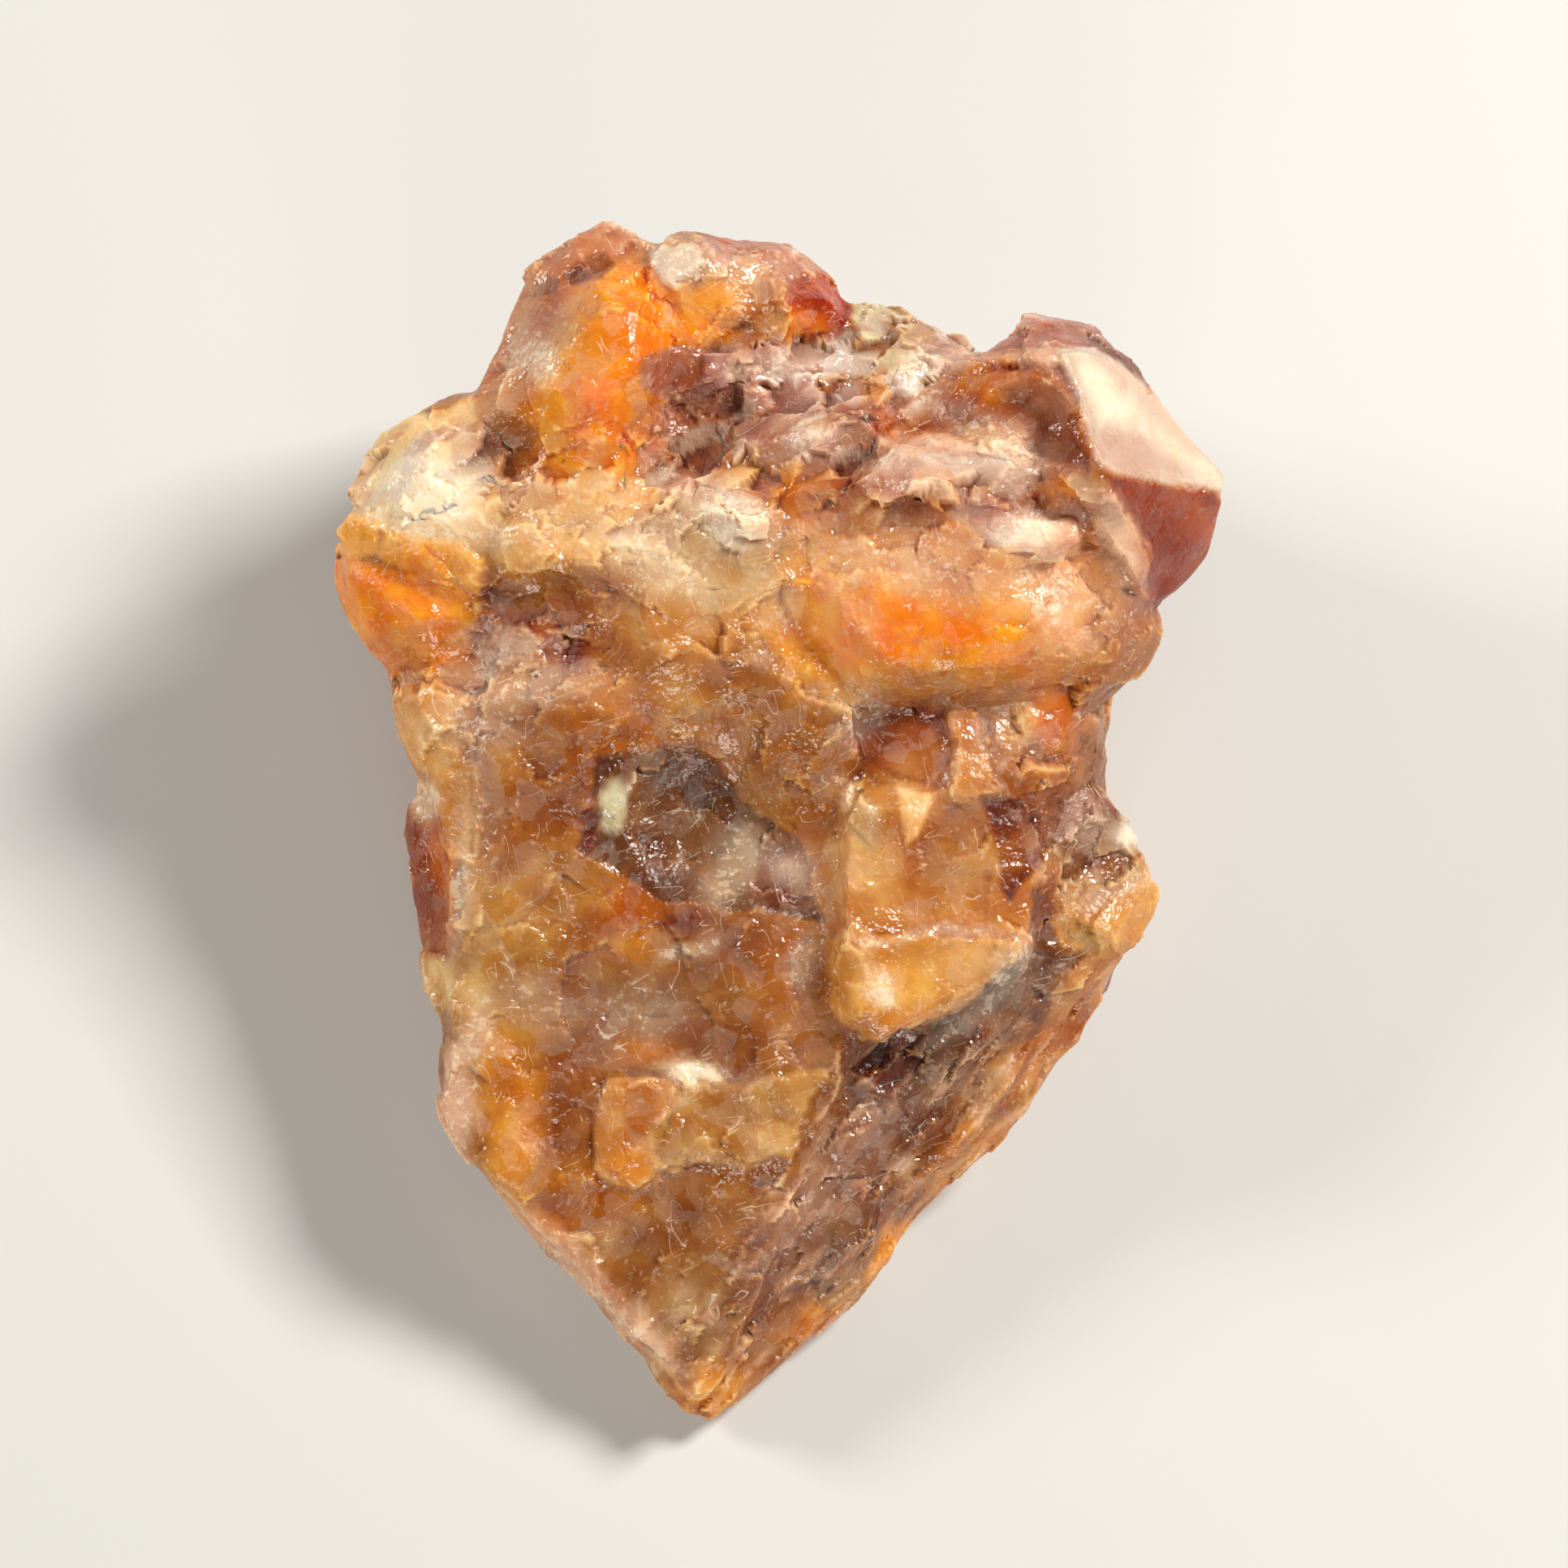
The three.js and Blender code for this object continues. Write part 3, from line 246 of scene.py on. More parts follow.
# Plates, facets and breaks with crisp edges on the face, from the top crystals down. Each has its colour,
# how strongly it is tinted, how far it stands proud in mm, how flat it is from 0 to 1, and its outline in mm.
PLATES = {
    # The pale pearl top facet next is a painted highlight, where the facet catches the light.
    "top_facet_painted_highlight": ("pearl", 1, 0.10, 1, [(-2, 13.9), (-0.9, 13.9), (-0.6, 13.5), (-1, 13.2),
      (-1.4, 12.8), (-1.7, 13), (-2, 13.5)]),
    "rose_top_facet": ("rose", 0.8, 0.05, 0.7, [(-0.8, 14.2), (0.3, 14.2), (0.4, 13.8), (-0.1, 13.4),
      (-0.5, 13.6)]),
    "round_red_face": ("red_orange", 1, -0.12, 0.9, [(1.7, 13.2), (2.3, 13.3), (2.8, 12.9), (3, 12.3),
      (2.6, 11.7), (2, 11.6), (1.5, 12), (1.3, 12.5)]),
    "russet_scar": ("russet", 0.8, -0.10, 0.6, [(-4.1, 13.2), (-3.6, 13.7), (-3.1, 13.8), (-2.8, 13.5),
      (-3.2, 13.1), (-3.9, 12.9)]),
    "russet_scar_below": ("russet", 0.6, -0.08, 0.5, [(-5.1, 12.7), (-4.6, 13.2), (-4.2, 13.1),
      (-4.3, 12.8), (-4.9, 12.6)]),
    "long_splinter": ("mauve", 0.85, 0.05, 0.8, [(-2.2, 11.1), (-1.4, 11.4), (0, 11.3), (-0.3, 10.5),
      (-1.4, 10.1), (-2.2, 10.4)]),
    "red_hollow": ("cognac", 0.95, -0.25, 0.3, [(-1.4, 10.1), (-0.4, 10.4), (0.1, 10.2), (0.3, 9.4),
      (-0.2, 8.4), (-1.2, 8.5), (-1.5, 9.2)]),
    "pale_shard": ("blush", 0.8, 0.12, 0.8, [(0.1, 10.6), (0.9, 10.5), (1.2, 9.9), (0.6, 9.5),
      (0.3, 10)]),
    "silver_shard": ("silver", 0.85, 0.15, 0.8, [(1.5, 9.4), (2.4, 9.9), (2.3, 9), (1.8, 8.6),
      (1.3, 8.9)]),
    "left_shards": ("mauve", 0.6, 0.08, 0.5, [(-2.4, 10.1), (-1.6, 10), (-1.5, 9.4), (-2, 9),
      (-2.5, 9.4)]),
    "nub_by_hollow": ("tan", 0.8, 0.10, 0.6, [(3.2, 10.8), (3.8, 10.9), (4.1, 10.4), (3.8, 10),
      (3.3, 10.1)]),
    "orange_pocket": ("red_orange", 0.85, -0.15, 0.4, [(3.4, 9.9), (4, 9.9), (4, 9.2), (3.5, 9.3)]),
    "shell_break": ("cognac", 1, -0.05, 0.9, [(4, 10), (5.2, 10.7), (6.5, 11), (7.4, 11), (8, 10.5),
      (8.5, 9.5), (8.9, 8.5), (8.8, 8.2), (8, 8.4), (7.2, 8.8), (6.8, 9.4), (5.9, 9.6), (5.6, 9.1),
      (4.6, 9.2), (4.1, 9.6)]),
    "shell_break_rim": ("blush", 0.8, 0.12, 0.7, [(6, 11.2), (6.8, 11.3), (8, 11.4), (8.2, 11),
      (7.8, 10.8), (7.3, 11.05), (6.5, 11.05)]),
    # The large crystal's face next is painted pale pearl: a painted reflection of a soft light on it.
    "crystal_face_painted_reflection": ("pearl", 1, 0, 1, [(8, 11.35), (8.9, 11.4), (9.6, 11), (10.8, 9.9),
      (11.8, 8.9), (12.4, 8.3), (12.2, 7.9), (10.8, 8), (9.2, 8.3), (8.9, 8.5), (8.7, 9.1), (8.5, 10),
      (8.2, 10.6), (8, 11)]),
    "crystal_red_face": ("red_face", 1, 0, 1, [(8.9, 8.4), (9.2, 8.2), (10.8, 7.95), (12.4, 7.8),
      (12.6, 6.4), (11.4, 5.4), (10.2, 5), (10.2, 6.2), (9.8, 7.2), (9.4, 7.7)]),
    "upper_ledge": ("blush", 0.9, 0.12, 0.7, [(3.7, 8.6), (4.1, 9.1), (4.8, 9.3), (5.6, 9.1), (6.4, 9),
      (7, 8.6), (6, 8.2), (5.6, 8), (4.6, 7.9), (3.9, 8)]),
    "lower_ledge": ("blush", 0.85, 0.18, 0.7, [(5, 7.6), (5.6, 7.9), (6.8, 7.3), (8, 7.3), (8.6, 7),
      (8.6, 6.3), (7.6, 6.2), (6.6, 6.5), (5.6, 7)]),
    "amber_pocket": ("amber", 0.9, -0.15, 0.4, [(7.4, 8), (8.1, 8.2), (8.5, 7.8), (8, 7.4), (7.4, 7.5)]),
    "right_ledge": ("blush", 0.9, 0.15, 0.8, [(8.8, 7.6), (9.4, 7.8), (9.8, 7.2), (10.3, 6.4),
      (10.3, 5.2), (9.9, 5.5), (9.4, 6.3), (8.9, 7)]),
    "cream_shoulder": ("ivory", 0.9, 0.05, 0.3, [(-9.6, 8), (-9, 8.6), (-8.7, 9.4), (-8.2, 9.8),
      (-7.1, 9.9), (-6.3, 10.3), (-6.2, 9.6), (-6.8, 9.1), (-6.8, 8.4), (-6.2, 8), (-6.8, 7.3),
      (-8, 7.2), (-9.2, 7.5)]),
    "golden_nub": ("golden", 0.95, 0.10, 0.8, [(-9.9, 7), (-9.4, 7.4), (-8.6, 7.1), (-8.6, 6.4),
      (-9.2, 6.2), (-9.9, 6.4)]),
    "second_golden_nub": ("golden", 0.9, 0.10, 0.6, [(-8.5, 6.9), (-7.6, 6.7), (-6.8, 6.6), (-6, 6.2),
      (-6.2, 5.2), (-6.8, 5.6), (-7.4, 5.7), (-8.2, 6), (-8.6, 6.3)]),
    "amber_bulge": ("orange", 0.95, 0, 0.8, [(-10, 6.3), (-9.4, 6.3), (-8.6, 6), (-7.8, 5.8),
      (-7.1, 5.7), (-6.4, 5.3), (-6.1, 4.8), (-6.4, 4), (-6.8, 3.6), (-8.6, 3.2), (-9.4, 4),
      (-9.9, 4.8)]),
    "upper_plate": ("honey", 0.6, 0.07, 0.4, [(-6.2, 2.7), (-4, 3), (-2.2, 2), (-3.2, 1.5), (-3.3, 1),
      (-3.6, 0), (-4, -0.1), (-3.7, -0.7), (-4.2, -1.2), (-4.9, -1.4), (-6, -2), (-6.2, -1.2)]),
    "cream_rectangle": ("cream", 0.7, 0, 0.9, [(-7.4, 1.5), (-6.2, 1.2), (-6.2, -1.2), (-6.8, -1.1),
      (-7.2, -0.4), (-7.4, 0.4)]),
    "glassy_edge_crystal": ("cognac", 0.9, 0, 0.9, [(-8.2, 0.4), (-7.4, 0.6), (-7.1, -0.4), (-6.8, -1.1),
      (-6.7, -2.4), (-6.9, -3.6), (-8, -3.6), (-7.9, -1.6)]),
    "arched_hollow": ("plum", 0.75, -0.12, 0.3, [(-3.2, 1.5), (-0.8, 1.5), (0.1, 0.8), (0.8, 0),
      (1.8, -1), (2.1, -1.8), (2.3, -2.6), (0.6, -2.4), (-1.6, -2.2), (-3.4, -1.2), (-3.9, -0.8),
      (-3.4, 0.2)]),
    "salmon_facet": ("salmon", 0.9, -0.06, 0.9, [(3.2, 2.4), (4, 2.6), (5.4, 2.6), (5.4, 0.6), (5, 0.6),
      (4.1, 0.8), (3.1, 1.4), (2.9, 2)]),
    "cream_facet": ("tan", 0.9, 0.06, 0.9, [(5.4, 2.5), (6.1, 2.4), (6.3, 1.4), (6.6, 0.5), (6.2, 0.3),
      (5.3, 0.4), (5.4, 1.2)]),
    "pale_sliver": ("white", 0.7, 0.06, 0.8, [(2.9, 0.7), (3.2, 0.7), (2.9, 0), (2.7, 0)]),
    "pale_triangle": ("ivory", 0.75, 0.08, 0.9, [(4.1, 0.6), (5, 0.4), (4.6, -0.6), (4.3, -0.8),
      (4.2, -0.2)]),
    "grey_facet": ("oat", 0.6, 0.03, 0.9, [(2.7, -0.2), (3.2, 0.6), (3.8, 0), (3.5, -1), (3, -0.6)]),
    "rust_band": ("rust", 0.85, -0.05, 0.7, [(6.1, 0.3), (7.2, 0.3), (7.8, -0.8), (7.7, -1.2),
      (7.1, -1.8), (6.9, -2.2), (6.6, -1.8), (6.5, -0.8)]),
    "block_foot": ("straw", 0.85, 0.12, 0.4, [(3.2, -2.6), (3.5, -3), (6.6, -3.1), (7.2, -3.3),
      (6.8, -4), (5.6, -4.8), (4.4, -5.2), (3.6, -5.6), (3.2, -5.5), (2.6, -4.8), (2.6, -3.2)]),
    "knob": ("straw", 0.95, 0.05, 0.6, [(8.4, -2.2), (9.2, -1.9), (10.4, -1.6), (10.8, -2.2), (10.4, -3),
      (9.4, -3.6), (8.2, -3.4), (7.9, -2.8)]),
    # The next hollow, under the tan block, is painted dark rust: a painted shadow.
    "painted_shadow_under_block": ("rust", 0.9, -0.35, 0.4, [(3, -6.4), (3.6, -5.8), (4.2, -5.3), (4.8, -5.5),
      (4.2, -6.8), (3.8, -6.9)]),
    "plate_lobe": ("tan", 0.8, 0.18, 0.5, [(-3, -6.5), (-2.2, -6.5), (-1.4, -6.9), (-1.3, -7.2),
      (-1.6, -7.7), (-1.9, -7.8), (-1.8, -8.8), (-2.4, -9.3), (-2.9, -9.2), (-3.3, -8.8), (-3.3, -8),
      (-3.2, -7)]),
    "plate_wing": ("olive_cream", 0.7, 0.12, 0.5, [(-1.4, -6.4), (-0.6, -6.5), (0.4, -6.8), (1.1, -6.4),
      (2.5, -6.3), (2.2, -6.8), (1.8, -7.4), (1.5, -8.5), (1, -8.4), (0.4, -8.8), (-0.4, -8.6),
      (-1, -8.5), (-1.3, -8.8), (-1.8, -8.8), (-1.9, -7.8), (-1.3, -7.2)]),
}


# Crystals that show flat faces: middle and half widths on the face in mm, then for each face the way it
# looks and how deep it is cut.
CRYSTALS = [
    (-3.8, 11.2, 3, 3.2, [(-0.1, 0.1, 1, 0.4), (-0.7, 0.5, 0.6, 0.5), (0.2, -0.6, 0.8, 0.5),
      (0.75, 0.2, 0.65, 0.4), (-0.6, -0.4, 0.7, 0.4), (0.1, 0.85, 0.5, 0.4)]),
    (-8.1, 4.9, 2, 1.9, [(-0.5, 0.2, 0.85, 0.5), (-0.2, -0.7, 0.7, 0.5), (0.5, 0.2, 0.85, 0.4)]),
    (-7.6, 8.5, 2, 1.8, [(-0.3, 0.3, 0.9, 0.5), (0.2, -0.4, 0.9, 0.4), (-0.7, 0.5, 0.5, 0.4)]),
    (5.4, 4.8, 4.6, 2.7, [(-0.2, 0.5, 0.85, 0.35), (0, -0.15, 0.97, 0.3), (-0.6, -0.3, 0.75, 0.3),
      (0.1, -0.8, 0.6, 0.3)]),
    (9.4, -2.7, 1.7, 1.4, [(0.3, 0.3, 0.9, 0.4), (-0.2, -0.6, 0.75, 0.4), (0.85, -0.2, 0.5, 0.4)]),
    (1.9, 12.7, 1.6, 1.4, [(0.5, -0.2, 0.85, 0.4), (-0.4, 0.3, 0.85, 0.4), (0.3, 0.8, 0.5, 0.3)]),
    (-0.7, 13, 1.2, 1.3, [(0, 0.2, 1, 0.3), (-0.5, -0.4, 0.75, 0.3), (0.5, -0.4, 0.75, 0.3)]),
    (-8.9, 6.8, 1, 0.7, [(0, 0.2, 1, 0.25), (-0.6, -0.2, 0.8, 0.2)]),
]


def wear(points):
    """How far to move points aside, so that outlines through them are uneven, most of all down the sides."""
    down = 1 + 2.4 * soft_step(-points[:, 2], 1.2, 3.0)
    wide = bend(points, 1.3, 171, axes=2)
    return 0.28 * down[:, None] * wide + 0.09 * bend(points, 0.35, 181, axes=2, layers=1)


def plates_at(points):
    """Each plate's colour, strength, height and flatness, and how far inside it each point is, in mm.
    The outlines are worn, those of small or flat plates less."""
    wander = wear(points)
    for colour, strength, height, flatness, corners in PLATES.values():
        length = np.ptp(np.array(corners), axis=0).max()
        worn = min(1, length / WORN_LENGTH, 5 * (1 - flatness))
        yield colour, strength, height, flatness, depth_inside(points + worn * wander, corners)


# The worked surface

def in_scene(name, data):
    """A new object in the scene."""
    thing = bpy.data.objects.new(name, data)
    bpy.context.scene.collection.objects.link(thing)
    return thing


def copied_solid():
    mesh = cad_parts[SPECIMEN].data.copy()
    mesh.materials.clear()
    return in_scene("garnet_crystals", mesh)


def remesh(piece, step):
    """Makes the piece's mesh even and fine."""
    even = piece.modifiers.new("even", "REMESH")
    even.mode = "VOXEL"
    even.voxel_size = step
    apply_modifiers(piece)


def apply_modifiers(piece):
    graph = bpy.context.evaluated_depsgraph_get()
    made = bpy.data.meshes.new_from_object(piece.evaluated_get(graph))
    piece.modifiers.clear()
    piece.data = made


def points_of(piece):
    co = np.zeros(len(piece.data.vertices) * 3)
    piece.data.vertices.foreach_get("co", co)
    return co.reshape(-1, 3)


def move_points(piece, points):
    piece.data.vertices.foreach_set("co", points.ravel())
    piece.data.update()


def normals_of(piece):
    normals = np.zeros(len(piece.data.vertices) * 3, np.float32)
    piece.data.vertex_normals.foreach_get("vector", normals)
    return normals.reshape(-1, 3).astype(float)


def smoothed(piece, points, rounds):
    """The points drawn towards their neighbours' middle, a few rounds."""
    edges = np.zeros(len(piece.data.edges) * 2, np.int32)
    piece.data.edges.foreach_get("vertices", edges)
    a, b = edges.reshape(-1, 2).T
    total = len(points)
    count = np.bincount(a, minlength=total) + np.bincount(b, minlength=total)
    for _ in range(rounds):
        pulled = np.zeros_like(points)
        for axis in range(3):
            pulled[:, axis] = np.bincount(a, points[b, axis], total) + np.bincount(b, points[a, axis], total)
        points = 0.5 * points + 0.5 * pulled / count[:, None]
    return points


def prominence(piece, rounds, reach):
    """How far each point stands above its surroundings, from -1 in a crack to 1 on an edge."""
    points = points_of(piece)
    away = points - smoothed(piece, points, rounds)
    return np.clip((away * normals_of(piece)).sum(axis=1) / reach, -1, 1)


def height_map(p):
    """The front surface's height over the face, on an even grid, and each point's place on that grid."""
    low = p[:, :2].min(axis=0) - GAP_REACH * MAP_STEP
    place = (p[:, :2] - low) / MAP_STEP
    cells = place.astype(int)
    heights = np.full(cells.max(axis=0) + GAP_REACH + 2, FAR_BELOW)
    np.maximum.at(heights, (cells[:, 0], cells[:, 1]), p[:, 2])
    return heights, place - 0.5


def read_map(heights, place):
    """The map's height at each place, blended between its cells."""
    i, j = place.astype(int).T
    s, t = (place % 1).T
    near = heights[i, j] * (1 - t) + heights[i, j + 1] * t
    far = heights[i + 1, j] * (1 - t) + heights[i + 1, j + 1] * t
    return near * (1 - s) + far * s


def spread(heights, reach, pick):
    """The largest or smallest height within a round reach of each cell."""
    result = heights.copy()
    for i in range(-reach, reach + 1):
        for j in range(-reach, reach + 1):
            if 0 < i * i + j * j <= reach * reach:
                result = pick(result, np.roll(heights, (i, j), axis=(0, 1)))
    return result


def close_gaps(piece):
    """Fills the narrow gaps between the lumps on the front, where they are grown together."""
    points = points_of(piece)
    p = on_face(points)
    heights, place = height_map(p)
    closed = spread(spread(heights, GAP_REACH, np.maximum), GAP_REACH, np.minimum)
    for axis in (0, 1, 0, 1):
        closed = (np.roll(closed, 1, axis) + 2 * closed + np.roll(closed, -1, axis)) / 4
    level = read_map(closed, place) - GAP_LEAST
    front = front_share(p, "gaps") * soft_step(normals_of(piece) @ FACE_AXES[2], -0.3, 0.0)
    rise = GAP_FILL * front * np.clip(level - p[:, 2], 0, GAP_MOST)
    points += rise[:, None] * FACE_AXES[2] * MM
    move_points(piece, points)


def cut_crystals(piece):
    """Cuts flat faces on the lumps that are crystals. Each cut takes off what stands above it."""
    points = points_of(piece)
    p = on_face(points)
    for x, y, rx, ry, directions in CRYSTALS:
        share = patch(p, x, y, rx, ry, 0, 0.12) * front_share(p, "cuts")
        for dx, dy, dz, depth in directions:
            facing = np.array([dx, dy, dz]) / math.hypot(dx, dy, dz)
            reach = p @ facing
            level = np.max(reach[share > 0.9]) - depth
            p -= (share * np.clip(reach - level, 0, None))[:, None] * facing
    move_points(piece, (p @ FACE_AXES + np.array(MIDDLE)) * MM)


# Oval areas of the face: share, then middle and half widths in mm, turn in degrees, share that fades.
FLAT_AREAS = [
    (0.7, 5, 4.3, 3.6, 1.8, 0, 0.3), (0.5, -2, -6, 5, 9.5, 0, 0.3),
    (0.5, -3.6, 11.2, 2, 2.4, 0, 0.3), (0.6, 5, -1.6, 2.6, 2.6, 0, 0.3),
]
SPLINTERED_AREAS = [
    (1, 1, 9.8, 3.6, 2, 10), (1, 4.4, 11.2, 1.8, 1.2), (0.8, 6, 7.6, 3.6, 1.2, -8),
    (0.6, -3.4, 8, 5, 1.2, -10), (0.8, -5.2, 4, 2.4, 1.2, -5), (0.5, -7.6, 8.3, 2, 1.4),
    (0.6, 8.8, -0.8, 1.6, 1.6, 45),
]


def areas(p, ovals):
    """How much each point lies in any of the ovals, from 0 to 1."""
    return np.clip(sum(share * patch(p, *oval) for share, *oval in ovals), 0, 1)


def fibrous_areas(p):
    """The dark flank, broken into long fibres."""
    beside = p[:, 0] - FLANK_SLOPE * p[:, 1] - FLANK_START
    return soft_step(beside, -0.3, 0.7) * soft_step(-p[:, 1], 4.2, 5.6) * front_share(p, "flank")


# Facets in broken parts: height and more of it where splintered, size in mm, turn in degrees, salt.
FACETS = [(0.36, 0, 2.7, 0, 41), (0.16, 0.16, 1.2, 35, 51)]
PLAIN_RELIEF = 0.010  # mm, where nothing is broken


def work_surface(piece):
    """Breaks up, ribs and flattens the surface by region. The back stays flat where it is laid down."""
    start = points_of(piece)
    points = smoothed(piece, start, 2)
    p = on_face(points)
    normals = normals_of(piece)
    front = front_share(p, "relief")
    plain = plain_share(p)
    lift = np.zeros(len(p))
    for _, _, height, _, depth in plates_at(p):
        lift += height * front * soft_step(depth, -0.10, 0.10)
    splinters = areas(p, SPLINTERED_AREAS) * (1 - plain)
    fibres = fibrous_areas(p)
    broken = (1 - plain) * (1 - 0.7 * fibres)

    warped = p + 0.35 * bend(p, *WARP)
    relief = lift + 0.12 * broken * layered_noise(p, 4.0, 31)
    for height, more, size, turn, salt in FACETS:
        relief += broken * (height + more * splinters) * facet_noise(turned(warped, turn), size, salt)
    relief += (PLAIN_RELIEF + broken * (0.07 + 0.05 * splinters)) * facet_noise(turned(warped, 70), 0.50, 61)
    long = turned(warped, SPLINTER_ANGLE) * np.array([0.6, 1.5, 1])
    relief += splinters * 0.34 * facet_noise(long, 1.3, 65)
    along = turned(warped, FIBRE_ANGLE) / np.array([3.4, 1.0, 1.0])
    relief += fibres * (0.14 * facet_noise(along, 1.3, 71) + 0.06 * facet_noise(along, 0.45, 81))

    lying = soft_step(points[:, 2] / MM, *LYING)
    moved = points + normals * (relief * lying * MM)[:, None]
    moved[:, 2] = np.where(start[:, 2] < 0.05 * MM, start[:, 2], np.maximum(moved[:, 2], 0))
    move_points(piece, moved)


def per_shard(number, values):
    """The values' mean over each shard."""
    count = np.bincount(number)[:, None]
    return np.stack([np.bincount(number, values[:, k]) for k in range(3)], axis=1) / count


def flatten_shards(piece, stretch, angle, size, salt, share):
    """Makes the surface flat within each shard, so that they meet at crisp edges. Each leans its own way."""
    points = points_of(piece)
    p = on_face(points)
    warped = p + 0.25 * bend(p, *WARP)
    number = shards(turned(warped, angle) * np.array(stretch), size, salt)[0]
    middle = per_shard(number, points)
    facing = per_shard(number, normals_of(piece))
    order = np.arange(len(facing))[:, None] * np.ones((1, 3))
    facing += SHARD_LEAN * (hash_three(order, salt + 10) - 0.5)
    facing /= np.linalg.norm(facing, axis=1, keepdims=True)
    away = ((points - middle[number]) * facing[number]).sum(axis=1)
    lying = soft_step(points[:, 2] / MM, *LYING)
    step = share * lying * np.clip(away, -SHARD_REACH, SHARD_REACH)
    points -= step[:, None] * facing[number]
    points[:, 2] = np.maximum(points[:, 2], 0)
    move_points(piece, points)


def plain_share(p):
    """How much each point belongs to a plain face or plate that stays whole."""
    front = front_share(p, "relief")
    plain = areas(p, FLAT_AREAS)
    for _, _, _, flatness, depth in plates_at(p):
        plain = np.maximum(plain, flatness * front * soft_step(depth, -0.05, 0.20))
    return plain


def break_into_shards(piece):
    """Broad facets everywhere, small shards where it is splintered, and long fibres on the dark flank."""
    p = on_face(points_of(piece))
    fibres = fibrous_areas(p)
    broken = (1 - plain_share(p)) * (1 - fibres)
    splinters = np.clip(0.35 + areas(p, SPLINTERED_AREAS), 0, 1)
    flatten_shards(piece, (1, 1, 1), 0, 1.5, 75, 0.75 * broken)
    flatten_shards(piece, SPLINTER_STRETCH, SPLINTER_ANGLE, SPLINTER_SIZE, SPLINTER_SALT, splinters * broken)
    flatten_shards(piece, (0.25, 1, 1), FIBRE_ANGLE, 0.45, 85, 0.6 * fibres)


def thin_out(piece):
    """Fewer faces where the surface is flat, so that the whole stays light enough."""
    faces = 2 * len(piece.data.polygons)
    if faces > MOST_FACES:
        thin = piece.modifiers.new("thin", "DECIMATE")
        thin.ratio = MOST_FACES / faces
        apply_modifiers(piece)


# Colours, as seen on the specimen in even light

PALETTE = {
    "honey": (0.65, 0.42, 0.18), "amber": (0.92, 0.58, 0.05), "flame": (0.90, 0.51, 0.04),
    "orange": (0.90, 0.59, 0.16), "golden": (0.92, 0.65, 0.23), "straw": (0.82, 0.61, 0.31),
    "red_orange": (0.70, 0.29, 0.00), "red_face": (0.62, 0.26, 0.05), "deep_red": (0.50, 0.17, 0.03),
    "rust": (0.50, 0.22, 0.04), "cognac": (0.66, 0.35, 0.12), "russet": (0.57, 0.31, 0.12),
    "brown": (0.54, 0.35, 0.20), "dark_brown": (0.36, 0.22, 0.14), "plum": (0.46, 0.29, 0.19),
    "mauve": (0.70, 0.49, 0.44), "rose": (0.74, 0.49, 0.39), "blush": (0.88, 0.71, 0.60),
    "salmon": (0.64, 0.36, 0.16), "tan": (0.78, 0.53, 0.27), "cream": (0.89, 0.72, 0.47),
    "ivory": (0.94, 0.81, 0.60), "olive_cream": (0.77, 0.59, 0.34), "olive": (0.72, 0.54, 0.28),
    "oat": (0.72, 0.58, 0.41), "silver": (0.81, 0.73, 0.68), "celadon": (0.88, 0.86, 0.74),
    "pearl": (0.83, 0.74, 0.67), "white": (0.95, 0.90, 0.80),
}

